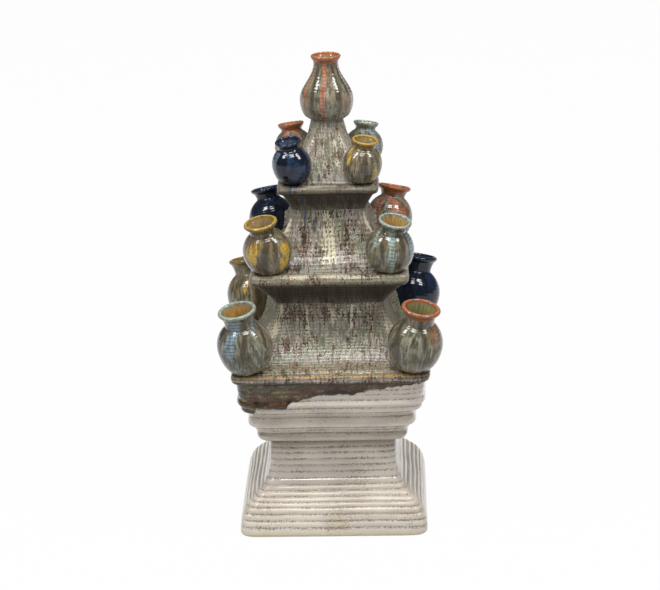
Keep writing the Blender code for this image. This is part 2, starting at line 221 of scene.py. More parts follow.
# Vases of each tier: inset from both shelf edges, lean, and radii and heights from foot to mouth
VASES = {
    "lower": dict(inset=21 * MM, lean=math.radians(13), foot=12 * MM, belly=29.1 * MM, belly_height=29 * MM,
                  neck=15.4 * MM, neck_height=17.32 * MM, mouth=19.9 * MM),
    "middle": dict(inset=24.1 * MM, lean=math.radians(14.5), foot=11 * MM, belly=25.5 * MM,
                   belly_height=22.5 * MM, neck=12.6 * MM, neck_height=12.1 * MM, mouth=17.3 * MM),
    "upper": dict(inset=18.6 * MM, lean=math.radians(10), foot=8.5 * MM, belly=20.8 * MM,
                  belly_height=20 * MM, neck=10.6 * MM, neck_height=8.5 * MM, mouth=13.4 * MM),
}
FINIAL = dict(foot=16 * MM, belly=28.2 * MM, belly_height=21 * MM, shoulder_height=37.5 * MM, neck=13 * MM,
              mouth=15.4 * MM)

# Colours of the vases of each tier, in the order of the corners
VASE_COLOURS = {
    "lower": ("celadon", "orange", "yellow", "cobalt"),
    "middle": ("yellow", "celadon", "cobalt", "orange"),
    "upper": ("cobalt", "yellow", "orange", "celadon"),
}

# How far the dipped colour of the rim comes down the outside, by colour or for one vase, and how much of a
# run of each colour is cut into rungs, which are partly the glaze breaking over the ridges and partly painted
# highlight on their crests and painted shade between them
RIM_DEPTHS = {
    "orange": 9 * MM, "yellow": 7 * MM, "celadon": 5 * MM, "cobalt": 10 * MM, "finial_vase": 6.5 * MM}
RIM_FADE = 3 * MM
LADDER_SHARES = {"orange": 0.9, "yellow": 0.35, "celadon": 0.95, "cobalt": 0.4}

# Channels of a vase's glaze, and how far a run sways in degrees
RUN, STAIN, TINT = 0, 1, 2
RUN_SWAY = 2.0

# Darkening all round a vase: share of the one towards the foot and the way down over which it comes, and
# share of the stain below the rim with its place and half-width
FOOT_DARKENING = 0.55
FOOT_DARKENING_RISE = (0.70, 1.0)
COLLAR_STAIN = 0.45
COLLAR_STAIN_PLACE = (0.22, 0.09)

# Runs down a vase: channel, bearing, half-width in degrees, how far down from the mouth they reach as a share
# of the whole way, and for some where they start
VASE_RUNS = {
    "lower_vase_front_left": (
        (TINT, -31, 13, 0.58), (TINT, 16, 6, 0.30), (STAIN, -8, 7, 0.62), (STAIN, 40, 7, 0.5),
        (STAIN, -62, 8, 0.6), (RUN, 100, 10, 0.5), (RUN, 190, 12, 0.7), (TINT, 150, 10, 0.5)),
    "lower_vase_front_right": (
        (RUN, 54, 5, 0.36), (STAIN, -30, 9, 0.70), (STAIN, 24, 6, 0.5), (STAIN, -62, 8, 0.55),
        (RUN, -80, 7, 0.5), (RUN, 130, 11, 0.6), (RUN, 220, 11, 0.5), (TINT, 170, 10, 0.6)),
    "lower_vase_back_left": (
        (RUN, -30, 6, 0.5), (STAIN, 5, 12, 0.7), (STAIN, 50, 8, 0.6), (RUN, 120, 12, 0.7),
        (RUN, 200, 11, 0.6), (TINT, 160, 9, 0.5)),
    "lower_vase_back_right": ((TINT, -60, 14, 0.6), (RUN, 150, 20, 0.8)),
    "middle_vase_front_left": (
        (RUN, -36, 14, 0.58, 0.26), (RUN, 38, 16, 0.78, 0.38), (STAIN, -10, 10, 0.80), (TINT, -52, 7, 0.7),
        (STAIN, 10, 7, 0.6), (STAIN, 52, 10, 0.7), (RUN, 120, 11, 0.6), (RUN, 200, 13, 0.7)),
    "middle_vase_front_right": (
        (RUN, 15, 7, 0.80), (RUN, -25, 7, 0.42), (STAIN, 35, 8, 0.70), (STAIN, -5, 6, 0.6),
        (STAIN, -58, 9, 0.7), (TINT, 62, 8, 0.6), (RUN, 160, 12, 0.7), (RUN, 240, 10, 0.5)),
    "middle_vase_back_left": ((RUN, -40, 14, 0.3), (RUN, 160, 20, 0.7)),
    "middle_vase_back_right": (
        (RUN, -34, 30, 0.8), (RUN, 40, 30, 0.85), (TINT, 2, 10, 0.7, 0.45), (RUN, 120, 14, 0.6),
        (RUN, 190, 12, 0.8), (STAIN, 62, 8, 0.7)),
    "upper_vase_front_left": (
        (TINT, -56, 12, 0.6), (TINT, -12, 22, 0.24), (RUN, -10, 9, 0.5), (RUN, 16, 8, 0.44),
        (RUN, 60, 12, 0.5), (RUN, 170, 20, 0.8)),
    "upper_vase_front_right": (
        (RUN, 42, 11, 0.82, 0.46), (RUN, -38, 12, 0.46, 0.16), (STAIN, -60, 8, 0.75), (STAIN, 15, 8, 0.70),
        (TINT, 58, 12, 0.95, 0.55), (RUN, 130, 11, 0.6), (RUN, 210, 13, 0.7)),
    "upper_vase_back_left": (
        (RUN, 20, 12, 0.45), (RUN, -50, 9, 0.6), (RUN, 120, 11, 0.7), (RUN, 190, 13, 0.6)),
    "upper_vase_back_right": (
        (RUN, 10, 12, 0.5), (RUN, 100, 11, 0.6), (RUN, 180, 13, 0.7), (TINT, 60, 12, 0.5)),
    "finial_vase": (
        (RUN, -7, 7.5, 0.95), (RUN, -60, 6, 0.80), (STAIN, 30, 9, 0.60), (TINT, 70, 6, 0.80),
        (STAIN, -34, 8, 0.9), (STAIN, 0, 300, 0.16), (STAIN, 60, 8, 0.5), (RUN, 100, 9, 0.75),
        (RUN, 160, 12, 0.85), (RUN, 230, 11, 0.7)),
}

# Runs down the bells: channel, place round the plan, half-width, and the rise where they start and end
CREAM, IRON, COBALT_RUN = 0, 1, 2
BELL_RUNS = {
    "lower": (
        (CREAM, 5.12, 0.05, 1.0, 0.5), (CREAM, 6.92, 0.04, 0.9, 0.5), (IRON, 6.0, 0.9, 1.0, 0.75),
        (IRON, 5.35, 0.05, 0.9, 0.3), (IRON, 6.62, 0.06, 0.95, 0.5), (CREAM, 6.05, 0.05, 0.95, 0.7),
        (CREAM, 5.62, 0.04, 1.0, 0.55), (CREAM, 6.38, 0.04, 1.0, 0.6), (CREAM, 0.1, 0.06, 0.9, 0.2),
        (IRON, 0.6, 0.1, 1.0, 0.3), (CREAM, 2.0, 0.08, 1.0, 0.2), (IRON, 2.6, 0.12, 1.0, 0.2),
        (IRON, 1.3, 0.08, 0.8, 0.1), (CREAM, 4.1, 0.06, 1.0, 0.3), (IRON, 3.6, 0.1, 1.0, 0.4),
        (COBALT_RUN, 2.3, 0.05, 1.0, 0.5)),
    "middle": (
        (CREAM, 5.9, 0.045, 1.0, 0.12), (CREAM, 6.0, 0.045, 1.0, 0.12), (CREAM, 6.1, 0.045, 1.0, 0.12),
        (CREAM, 4.98, 0.10, 0.85, 0.35), (IRON, 5.46, 0.13, 0.72, 0.02), (IRON, 6.42, 0.10, 0.78, 0.05),
        (COBALT_RUN, 5.40, 0.07, 1.1, 0.80), (COBALT_RUN, 5.64, 0.06, 0.85, 0.62),
        (CREAM, 6.95, 0.05, 0.95, 0.6), (IRON, 6.85, 0.10, 0.75, 0.4), (CREAM, 0.0, 0.08, 1.0, 0.1),
        (IRON, 0.5, 0.12, 0.8, 0.1), (CREAM, 2.1, 0.08, 1.0, 0.1), (IRON, 1.5, 0.12, 0.9, 0.1),
        (COBALT_RUN, 2.6, 0.08, 1.0, 0.5), (CREAM, 4.0, 0.09, 1.0, 0.2), (IRON, 3.5, 0.12, 0.9, 0.2),
        (IRON, 4.5, 0.1, 0.7, 0.1)),
    "upper": (
        (CREAM, 6.35, 0.07, 0.7, 0.3), (IRON, 5.4, 0.15, 0.9, 0.5), (CREAM, 0.2, 0.2, 1.0, 0.4),
        (IRON, 0.6, 0.2, 0.5, 0.1), (CREAM, 2.0, 0.2, 1.0, 0.4), (IRON, 2.5, 0.2, 0.6, 0.1),
        (CREAM, 4.0, 0.2, 1.0, 0.4), (IRON, 3.4, 0.2, 0.7, 0.1)),
}

# Stage: half the floor's side, the point that the lamps face, and each lamp's place, size and share of its
# power. The glaze mirrors the soft boxes and not the fills
FLOOR_REACH = 20.0
LAMP_AIM = (0, 0, 0.26)
SOFT_BOXES = {
    "soft_box_middle": ((0.02, -0.55, 1.64), (0.50, 0.30), 0.75),
    "soft_box_left": ((-0.75, -0.38, 1.45), (0.26, 0.60), 0.85),
    "soft_box_right": ((0.78, -0.38, 1.45), (0.26, 0.60), 0.85),
}
FILLS = {"fill": ((0.0, -2.25, 2.0), (2.4, 1.6), 1.0), "fill_behind": ((0.0, 2.3, 1.9), (2.4, 1.6), 0.75)}


def form_length(name, description, default, least=0.0):
    """A length property."""
    return FloatProperty(name=name, description=description, default=default, min=least, unit="LENGTH")


class TowerForm(bpy.types.PropertyGroup):
    """Sizes of the surface detail."""

    rib_depth: form_length("Rib depth", "Depth of the grooves between the pedestal's ribs", 0.95 * MM)
    line_depth: form_length("Line depth", "Depth of the fine lines cut into the coping", 0.35 * MM)
    ridge_pitch: form_length(
        "Ridge pitch", "Spacing of the throwing ridges on the tiers", 3.9 * MM, least=1 * MM)
    ridge_depth: form_length("Ridge depth", "Depth of the throwing ridges on the tiers", 0.34 * MM)
    vase_ridge_pitch: form_length(
        "Vase ridge pitch", "Spacing of the throwing ridges on the vases", 3.8 * MM, least=1 * MM)
    vase_ridge_depth: form_length("Vase ridge depth", "Depth of the throwing ridges on the vases", 0.12 * MM)
    bead_height: form_length("Bead height", "Height of the glaze bead where a vase meets its tier", 1.5 * MM)
    hand_wave: form_length("Hand wave", "How far hand-made surfaces wander from the plain shape", 0.45 * MM)


def glaze_colour(name, colour):
    """A colour property in linear RGB."""
    return FloatVectorProperty(
        name=name, description=name + " of the glazes, linear RGB", default=colour, size=3, min=0, max=1,
        subtype="COLOR")


class TowerGlazes(bpy.types.PropertyGroup):
    """Colours of the glazes."""

    white: glaze_colour("Warm white", (0.63, 0.575, 0.49))
    blush: glaze_colour("Pinkish white", (0.55, 0.49, 0.435))
    groove: glaze_colour("Groove brown", (0.13, 0.11, 0.08))
    buff: glaze_colour("Buff edge", (0.56, 0.47, 0.28))
    olive: glaze_colour("Grey olive", (0.12, 0.108, 0.07))
    lavender: glaze_colour("Lavender grey", (0.32, 0.285, 0.255))
    moss: glaze_colour("Grey green", (0.215, 0.23, 0.165))
    cream: glaze_colour("Cream run", (0.56, 0.515, 0.375))
    amber: glaze_colour("Amber", (0.36, 0.25, 0.075))
    plum: glaze_colour("Plum brown", (0.07, 0.050, 0.050))
    murk: glaze_colour("Dark olive", (0.062, 0.054, 0.033))
    rust: glaze_colour("Rust brown", (0.125, 0.062, 0.035))
    # Iron brown is also the colour of the painted shade on the tiers
    iron: glaze_colour("Iron brown", (0.026, 0.018, 0.011))
    bark: glaze_colour("Bark brown", (0.040, 0.028, 0.018))
    # Colour of the painted shade on the foot and coping
    painted_shade: glaze_colour("Shaded white", (0.40, 0.35, 0.285))
    sage: glaze_colour("Grey sage", (0.20, 0.21, 0.155))
    straw: glaze_colour("Straw brown", (0.20, 0.165, 0.09))
    sienna: glaze_colour("Sienna", (0.20, 0.105, 0.045))
    violet: glaze_colour("Dusky violet", (0.17, 0.13, 0.165))
    drab: glaze_colour("Brown olive", (0.095, 0.085, 0.053))
    ochre: glaze_colour("Ochre brown", (0.145, 0.100, 0.042))
    orange: glaze_colour("Orange", (0.30, 0.075, 0.022))
    orange_run: glaze_colour("Orange run", (0.37, 0.160, 0.110))
    orange_tint: glaze_colour("Lavender pink", (0.44, 0.34, 0.35))
    orange_inside: glaze_colour("Inside of orange vases", (0.20, 0.18, 0.065))
    yellow: glaze_colour("Yellow", (0.22, 0.135, 0.027))
    yellow_run: glaze_colour("Yellow run", (0.52, 0.33, 0.04))
    yellow_tint: glaze_colour("Dark plum", (0.16, 0.12, 0.13))
    yellow_inside: glaze_colour("Inside of yellow vases", (0.26, 0.17, 0.07))
    celadon: glaze_colour("Celadon", (0.22, 0.255, 0.20))
    celadon_run: glaze_colour("Celadon run", (0.27, 0.38, 0.36))
    celadon_tint: glaze_colour("Pale blue", (0.20, 0.29, 0.36))
    celadon_inside: glaze_colour("Inside of celadon vases", (0.36, 0.20, 0.05))
    cobalt: glaze_colour("Cobalt", (0.0055, 0.0075, 0.014))
    cobalt_run: glaze_colour("Cobalt run", (0.014, 0.030, 0.072))
    cobalt_tint: glaze_colour("Blue grey", (0.09, 0.135, 0.19))
    cobalt_inside: glaze_colour("Inside of cobalt vases", (0.05, 0.07, 0.10))


class TowerStudio(bpy.types.PropertyGroup):
    """Camera and light."""

    azimuth: FloatProperty(
        name="Azimuth", description="Turn of the camera from the front towards +X",
        default=math.radians(1.659), subtype="ANGLE")
    elevation: FloatProperty(
        name="Elevation", description="Height of the camera above the horizon",
        default=math.radians(17.256), subtype="ANGLE")
    roll: FloatProperty(
        name="Roll", description="Roll of the camera about its line of sight",
        default=0.022925, subtype="ANGLE")
    distance: FloatProperty(
        name="Distance", description="Distance from the camera to its target",
        default=2.5973, min=0.5, unit="LENGTH")
    target: FloatVectorProperty(
        name="Target", description="Point that the camera looks at",
        default=(-1.21 * MM, 0, 238.7 * MM), subtype="TRANSLATION", unit="LENGTH")
    lens: FloatProperty(
        name="Lens", description="Focal length in millimetres on a 36 mm wide sensor", default=131.9, min=10)
    lamp_power: FloatProperty(
        name="Soft box power", description="Power of each overhead soft box in watts", default=14.0, min=0)
    fill_power: FloatProperty(
        name="Fill power", description="Power of the frontal fill in watts", default=35.0, min=0)
    surround: FloatProperty(
        name="Surround", description="Brightness of the studio all round", default=0.10, min=0)


class Field:
    """A value that varies over a surface: a shader socket on which Python's operators add Math nodes."""

    def __init__(self, glaze, socket):
        self.glaze = glaze
        self.socket = socket

    def math(self, operation, *terms):
        """Join numbers or fields with one Math node."""
        return self.glaze.node("ShaderNodeMath", {"operation": operation}, dict(enumerate(terms)))

    def __add__(self, other):
        return self.math("ADD", self, other)

    def __sub__(self, other):
        return self.math("SUBTRACT", self, other)

    def __rsub__(self, other):
        return self.math("SUBTRACT", other, self)

    def __mul__(self, other):
        return self.math("MULTIPLY", self, other)

    __radd__ = __add__
    __rmul__ = __mul__


class Glaze:
    """A material in the making: node() adds any node, and the other methods name the common ones."""

    def __init__(self, name):
        self.material = bpy.data.materials.new(name + FIRED)
        self.material.use_nodes = True
        self.tree = self.material.node_tree
        self.tree.nodes.clear()

    def node(self, kind, settings, sockets, output=0):
        """Add a node, apply its settings, then set or link its sockets; returns one of its outputs."""
        added = self.tree.nodes.new(kind)
        for key, value in settings.items():
            if key == "stops":
                self.set_stops(added.color_ramp, value)
            else:
                setattr(added, key, value)
        for key, value in sockets.items():
            if isinstance(value, Field):
                self.tree.links.new(value.socket, added.inputs[key])
            elif added.inputs[key].type == "RGBA":
                added.inputs[key].default_value = (*value[:3], 1.0)
            else:
                added.inputs[key].default_value = value
        return Field(self, added.outputs[output]) if len(added.outputs) else None

    @staticmethod
    def set_stops(ramp, stops):
        """Give a colour ramp its stops, each a place from 0 to 1 and a colour."""
        ramp.elements.remove(ramp.elements[1])
        for number, (place, colour) in enumerate(stops):
            stop = ramp.elements.new(place) if number else ramp.elements[0]
            stop.position = place
            stop.color = (*colour, 1.0)

    def ramp(self, value, stops):
        """Colours along a value from 0 to 1."""
        return self.node("ShaderNodeValToRGB", {"stops": stops}, {0: value})

    def mix(self, share, first, second):
        """The first colour, changing to the second as the share goes from 0 to 1."""
        return self.node("ShaderNodeMix", {"data_type": "RGBA"}, {0: share, 6: first, 7: second}, 2)

    def step(self, value, low, high):
        """Smooth step from 0 at low to 1 at high."""
        settings = {"interpolation_type": "SMOOTHSTEP"}
        return self.node("ShaderNodeMapRange", settings, {0: value, 1: low, 2: high, 3: 0.0, 4: 1.0})

    def layer(self, under, over, value, low, high, share=1.0):
        """One colour laid over another, up to a share, where a value steps from low to high."""
        cover = self.step(value, low, high)
        return self.mix(cover if share == 1.0 else cover * share, under, over)

    def noise(self, place, scale, detail=2.0, stretch=(1, 1, 1)):
        """Noise with a given number of waves per metre, drawn out along an axis by a small stretch factor."""
        drawn = self.node("ShaderNodeVectorMath", {"operation": "MULTIPLY"}, {0: place, 1: stretch})
        return self.node("ShaderNodeTexNoise", {}, {"Vector": drawn, "Scale": scale, "Detail": detail})

    def parts(self, name):
        """The three channels of a vector attribute of the mesh."""
        vector = self.node("ShaderNodeAttribute", {"attribute_name": name}, {}, 1)
        first = self.node("ShaderNodeSeparateXYZ", {}, {0: vector})
        outputs = first.socket.node.outputs
        return [Field(self, output) for output in outputs]

    def flow(self):
        """Coordinates that follow the glaze: across the piece, and down it."""
        return self.node("ShaderNodeAttribute", {"attribute_name": "flow"}, {}, 1)

    def place(self):
        """Coordinates in the tower's own frame."""
        return self.node("ShaderNodeTexCoord", {}, {}, 3)

    def finish(self, colour, roughness, relief, bump_distance, coat):
        """Glossy fired surface with a clear coat and a fine relief."""
        normal = self.node(
            "ShaderNodeBump", {}, {"Strength": RELIEF_STRENGTH, "Distance": bump_distance, "Height": relief})
        shader = self.node(
            "ShaderNodeBsdfPrincipled", {},
            {"Base Color": colour, "Roughness": roughness, "Normal": normal, "IOR": GLAZE_IOR,
             "Coat Weight": coat, "Coat Roughness": COAT_ROUGHNESS})
        self.node("ShaderNodeOutputMaterial", {}, {"Surface": shader})
        return self.material


def tower_colour(glaze, colours, flow, ridge, pool, runs):
    """Run glaze of the tiers: green and lavender streaks, cream and cobalt runs, rust streaks, iron specks.

    The pool value goes from 0 to 1 across the toe and lip of the lower tier, and from 0 to -1 across those of
    the other tiers, where the glaze has gathered in bands along the edge, one cream band a painted highlight.
    """
    cream_run, iron_run, cobalt_run = runs
    broad = glaze.noise(flow, 60, 2, (1, 1, 0.6))
    streak = glaze.noise(flow, 210, 3, (1, 1, 0.16))
    thread = glaze.noise(flow, 430, 3, (1, 1, 0.16))
    rust = glaze.noise(flow, 300, 3, (1, 1, 0.20))
    dash = glaze.noise(flow, 600, 2, (1, 1, 0.6))
    speck = glaze.noise(flow, 640, 2, (1, 1, 0.55))
    band = glaze.noise(flow, 300, 3, (0.08, 0.08, 1))
    patch = glaze.noise(glaze.place(), 34, 2)

    colour = glaze.layer(colours.moss, colours.lavender, streak + 0.6 * (patch - 0.5), 0.42, 0.58)
    colour = glaze.layer(colour, colours.olive, thread + 0.4 * (broad - 0.5), 0.50, 0.36, 0.75)
    # Cream dashes, leaning to the ridge crests: the crest share is painted highlight
    pale = glaze.step(dash + 0.15 * ridge + 0.5 * (thread - 0.5), 0.63, 0.78)
    colour = glaze.mix(pale * 0.65, colour, colours.cream)

    gathered = pool.math("ABSOLUTE", pool)
    other = pool.math("LESS_THAN", pool, 0.0)
    place = 0.5 * gathered + 0.5 * other + (band - 0.5) * 0.16 + (dash - 0.5) * 0.20
    # On the lower shelf the cream at 0.14 is a painted highlight, a line of glints, and the cream at 0.40 is
    # partly pale speckle and partly painted highlight
    pooled = glaze.ramp(place, (
        (0.00, colours.moss), (0.07, colours.ochre), (0.14, colours.cream), (0.18, colours.violet),
        (0.22, colours.plum), (0.26, colours.amber), (0.29, colours.amber), (0.32, colours.violet),
        (0.36, colours.violet), (0.40, colours.cream), (0.44, colours.plum), (0.48, colours.murk),
        (0.53, colours.moss), (0.60, colours.lavender), (0.66, colours.olive), (0.72, colours.cream),
        (0.76, colours.rust), (0.81, colours.moss), (0.87, colours.olive), (0.92, colours.rust),
        (0.96, colours.olive), (1.00, colours.murk)))
    share = glaze.step(gathered, 0.02, 0.16) * glaze.step(streak + 0.6 * (dash - 0.5), 0.28, 0.46)
    colour = glaze.mix(share * 0.85, colour, pooled)

    # Cream runs break into rungs on the ridge crests: the crest share is painted highlight
    ladder = glaze.step(cream_run + 0.45 * ridge + (thread - 0.5) * 0.6, 0.55, 0.95)
    colour = glaze.mix(ladder * 0.85, colour, colours.cream)

    mood = 0.45 * (broad - 0.5)
    rusty = glaze.step(rust + 0.7 * (thread - 0.5) + mood + 0.12 * iron_run, 0.53, 0.63)
    colour = glaze.mix(rusty * 0.75, colour, colours.rust)
    specks = glaze.step(speck - 0.12 * ridge + 0.6 * (thread - 0.5) + mood + 0.10 * iron_run, 0.52, 0.57)
    colour = glaze.mix(specks * 0.9, colour, colours.iron)

    cobalt = glaze.step(cobalt_run + (thread - 0.5) * 2.4 + (streak - 0.5) * 1.2 + (dash - 0.5), 0.35, 0.85)
    return glaze.mix(cobalt * 0.8, colour, colours.cobalt_run)


def white_glaze(colours):
    """Off-white glaze with broken lines of brown dots in its grooves, and painted shade where the form asks
    for it; dark glaze runs over it from above.
    """
    glaze = Glaze("white")
    place = glaze.place()
    ridge, cover, painted_shade = glaze.parts("form")
    height = glaze.node("ShaderNodeSeparateXYZ", {}, {0: place}, 2)
    cloud = glaze.noise(place, 24, 3)
    drift = glaze.noise(place, 34, 2)
    dots = glaze.noise(place, 430, 2)
    fleck = glaze.noise(place, 780, 2)
    band = glaze.noise(place, 260, 3, (0.10, 0.10, 1))

    colour = glaze.layer(colours.white, colours.blush, cloud, 0.38, 0.64)
    colour = glaze.layer(colour, colours.buff, drift, 0.56, 0.74, 0.45)
    # Painted shade: the white turns to the shaded white on the foot's slope, sides and waist, and in the
    # coping's creases and underside
    colour = glaze.mix(painted_shade * (0.4 + 0.4 * glaze.step(band, 0.40, 0.60)), colour, colours.painted_shade)
    line = glaze.step(ridge, 0.62, 0.0)
    broken = glaze.step(0.45 * dots + 0.55 * fleck + 0.4 * (drift - 0.5), 0.47, 0.57)
    colour = glaze.mix(line * (0.08 + 0.32 * broken), colour, colours.groove)
    beside = glaze.step(ridge, 0.85, 0.30)
    specks = glaze.step(fleck + 0.15 * beside + 0.35 * (drift - 0.5), 0.62, 0.70)
    colour = glaze.mix(specks * 0.7, colour, colours.groove)
    colour = glaze.layer(colour, colours.buff, height, *BUFF_EDGE, 0.8)

    edge = cover + (glaze.noise(place, 160, 3) - 0.5) * RUN_EDGE_WANDER
    covered = glaze.step(edge, *RUN_EDGE)
    mottle = glaze.noise(place, 95, 3, (0.7, 0.7, 1))
    depth = edge * 34 + (band - 0.5) * 0.7 + (mottle - 0.5) * 0.9 + (fleck - 0.5) * 0.35
    runny = glaze.ramp(depth, (
        (0.00, colours.iron), (0.08, colours.bark), (0.16, colours.rust), (0.26, colours.bark),
        (0.36, colours.rust), (0.46, colours.murk), (0.56, colours.bark), (0.68, colours.olive),
        (0.80, colours.murk), (0.90, colours.bark), (1.00, colours.olive)))
    runny = glaze.layer(runny, colours.olive, drift + 0.7 * (mottle - 0.5), 0.50, 0.64, 0.45)
    golden = glaze.step(ridge, 0.75, 0.15) * glaze.step(mottle + 0.5 * (dots - 0.5), 0.44, 0.60)
    runny = glaze.mix(golden * 0.75, runny, colours.amber)
    runny = glaze.layer(runny, colours.lavender, fleck + 0.6 * (mottle - 0.5), 0.62, 0.72, 0.32)
    runny = glaze.layer(runny, colours.iron, dots + 0.5 * (fleck - 0.5), 0.40, 0.30, 0.6)
    colour = glaze.mix(covered, colour, runny)

    relief = glaze.noise(place, 260, 3, (0.6, 0.6, 1))
    roughness = 0.08 + 0.10 * cloud
    return glaze.finish(colour, roughness, relief, 0.35 * MM, 0.85 - 0.6 * covered - 0.6 * painted_shade)


def tower_glaze(colours):
    """Run glaze of shelves, bells and cups, with painted shade towards iron brown."""
    glaze = Glaze("tower")
    flow = glaze.flow()
    ridge, shade, pool = glaze.parts("form")
    colour = tower_colour(glaze, colours, flow, ridge, pool, glaze.parts("glaze"))
    # Painted shade: the shade channel darkens the glaze towards iron brown, in streaks
    colour = glaze.mix(shade * (0.72 + 0.5 * glaze.noise(flow, 300, 3, (1, 1, 0.12))), colour, colours.iron)
    relief = glaze.noise(flow, 480, 3, (1, 1, 0.5))
    roughness = 0.26 + 0.22 * glaze.noise(flow, 240, 2)
    return glaze.finish(colour, roughness, relief, 0.9 * MM, 0.2 - 0.2 * shade)


def vase_glaze(name, colours, body, shades, ladder):
    """Vase glaze: a coloured rim and laddered runs over a mottled body with dark runs; a speckled inside. The
    rim's pale crest and the rungs are partly painted highlight, the dark between rungs partly painted shade.
    """
    glaze = Glaze(name)
    rim_colour, run_colour, tint_colour, inside_colour = shades
    flow = glaze.flow()
    ridge, inside, tint = glaze.parts("form")
    run, stain, rim = glaze.parts("glaze")
    soft = glaze.noise(flow, 45, 2, (1, 1, 0.7))
    cloud = glaze.noise(flow, 160, 3, (1, 1, 0.65))
    streak = glaze.noise(flow, 330, 3, (1, 1, 0.24))
    thread = glaze.noise(flow, 620, 2, (1, 1, 0.14))
    fleck = glaze.noise(flow, 800, 2)

    deep, pale, warm, grey, dark = body
    colour = glaze.layer(deep, pale, cloud + 0.5 * (streak - 0.5), 0.38, 0.62)
    colour = glaze.layer(colour, warm, soft + 0.5 * (cloud - 0.5), 0.46, 0.64, 0.6)
    colour = glaze.layer(colour, grey, streak + 0.6 * (fleck - 0.5), 0.54, 0.68, 0.6)
    colour = glaze.layer(colour, dark, thread + 0.5 * (soft - 0.5), 0.45, 0.32, 0.75)
    ragged = (streak - 0.5) * 1.3 + (cloud - 0.5) * 0.9 + (fleck - 0.5) * 0.6
    stains = glaze.step(stain + 1.1 * ragged + (thread - 0.5) * 0.9, 0.42, 0.86)
    colour = glaze.mix(stains * 0.8, colour, dark)
    # Rungs: a run shows its colour on the ridge crests and goes dark in the grooves, partly the glaze
    # breaking over the ridges and partly painted highlight and painted shade
    rungs = 1 - ladder * glaze.step(ridge + 0.35 * (fleck - 0.5), 0.55, 0.30)
    strands = 0.55 + 0.45 * glaze.step(thread, 0.36, 0.54)
    tinted = glaze.step(tint + 0.85 * ragged + 0.8 * (soft - 0.5), 0.38, 0.74)
    colour = glaze.mix(tinted * (1 - rungs) * 0.75, colour, dark)
    colour = glaze.mix(tinted * strands * (0.08 + 0.82 * rungs), colour, tint_colour)
    running = glaze.step(run + 0.85 * ragged + 0.8 * (soft - 0.5), 0.38, 0.74)
    varied = glaze.layer(rim_colour, run_colour, cloud + 0.5 * (streak - 0.5), 0.32, 0.54)
    colour = glaze.mix(running * (1 - rungs) * 0.65, colour, dark)
    colour = glaze.mix(running * strands * (0.10 + 0.78 * rungs), colour, varied)

    dip = glaze.step(rim + (streak - 0.5) + (cloud - 0.5) * 0.8, 0.30, 0.70)
    dipped = glaze.layer(rim_colour, warm, cloud + 0.6 * (fleck - 0.5), 0.56, 0.40, 0.65)
    dipped = glaze.layer(dipped, deep, thread + 0.5 * (cloud - 0.5), 0.46, 0.34, 0.7)
    # Pale crest along the lip: partly glaze thinning over the edge, partly painted highlight
    dipped = glaze.layer(dipped, run_colour, rim + (cloud - 0.5), 1.1, 1.9, 0.4)
    colour = glaze.mix(dip, colour, dipped)

    lining = glaze.layer(inside_colour, deep, streak, 0.40, 0.64, 0.7)
    lining = glaze.layer(lining, colours.rust, fleck, 0.58, 0.70, 0.7)
    colour = glaze.mix(inside, colour, lining)

    relief = glaze.noise(flow, 260, 2, (1, 1, 0.6))
    roughness = 0.09 + 0.12 * streak
    return glaze.finish(colour, roughness, relief, 0.35 * MM, 0.4)


def cad_points(node):
    """Corner points of a CAD node's triangles."""
    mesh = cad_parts[node].data
    points = np.empty(3 * len(mesh.vertices), np.float32)
    mesh.vertices.foreach_get("co", points)
    return points.reshape(-1, 3).astype(float)


def span(node):
    """Half-width, bottom and top of a CAD node."""
    low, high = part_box(node)
    return high.x, low.z, high.z


def half_width_at(node, level):
    """Outer half-width of a CAD node at a level where it has a ring of points."""
    points = cad_points(node)
    return points[np.abs(points[:, 2] - level) < CAD_TOLERANCE, 0].max()


def cad_profile(node):
    """Half-width and height of each ring of a CAD wall, from its points in the plane Y = 0."""
    points = cad_points(node)
    middle = points[(np.abs(points[:, 1]) < CAD_TOLERANCE) & (points[:, 0] > 0)]
    levels = np.unique(middle[:, 2].round(6))
    widths = [middle[np.abs(middle[:, 2] - level) < CAD_TOLERANCE, 0].max() for level in levels]
    return np.column_stack((widths, levels))


def square_walk(count):
    """Places spaced evenly along the edge of a unit square, anticlockwise from the middle of its +X side.

    A place runs from 0 to 8, so that each side is 2 long and the front's middle is 6. Each coordinate is a
    triangle wave of the place, clipped at the sides.
    """
    places = np.arange(count) * 8 / count
    across = np.clip(np.abs(places % 8 - 4) - 2, -1, 1)
    along = np.clip(np.abs((places - 2) % 8 - 4) - 2, -1, 1)
    return places, np.column_stack((across, along))


def plan_rings(profile, count):
    """Rings of a square piece: points of the square drawn in until |x|^n + |y|^n = 1, then sized and raised.

    The profile gives half-width, height, squareness n and corner reach of each ring. The reach is added to
    the half-width in proportion to 4 |x|^n |y|^n, which is 1 on the diagonals.
    """
    half_width, height, squareness, reach = (column[:, None] for column in profile.T)
    walk = square_walk(count)[1]
    across, along = (np.abs(column) ** squareness for column in walk.T)
    pull = (across + along) ** (-1 / squareness)
    corner = 4 * across * along / (across + along) ** 2
    flat = walk * (pull * (half_width + reach * corner))[..., None]
    return np.concatenate((flat, np.broadcast_to(height[..., None], (*pull.shape, 1))), axis=-1)


def plan_profile(half_width, height, squareness, reach=0.0):
    """Profile of a square piece from its columns, each an array or one number."""
    return np.column_stack(np.broadcast_arrays(half_width, height, squareness, reach))


def turned_rings(profile, count):
    """Rings of a turned piece: each point of the profile (radius, height) carried round the Z axis."""
    angles = np.arange(count) * 2 * math.pi / count
    radius = profile[:, :1]
    height = np.broadcast_to(profile[:, 1:2], (len(profile), count))
    return np.stack((radius * np.cos(angles), radius * np.sin(angles), height), axis=-1)


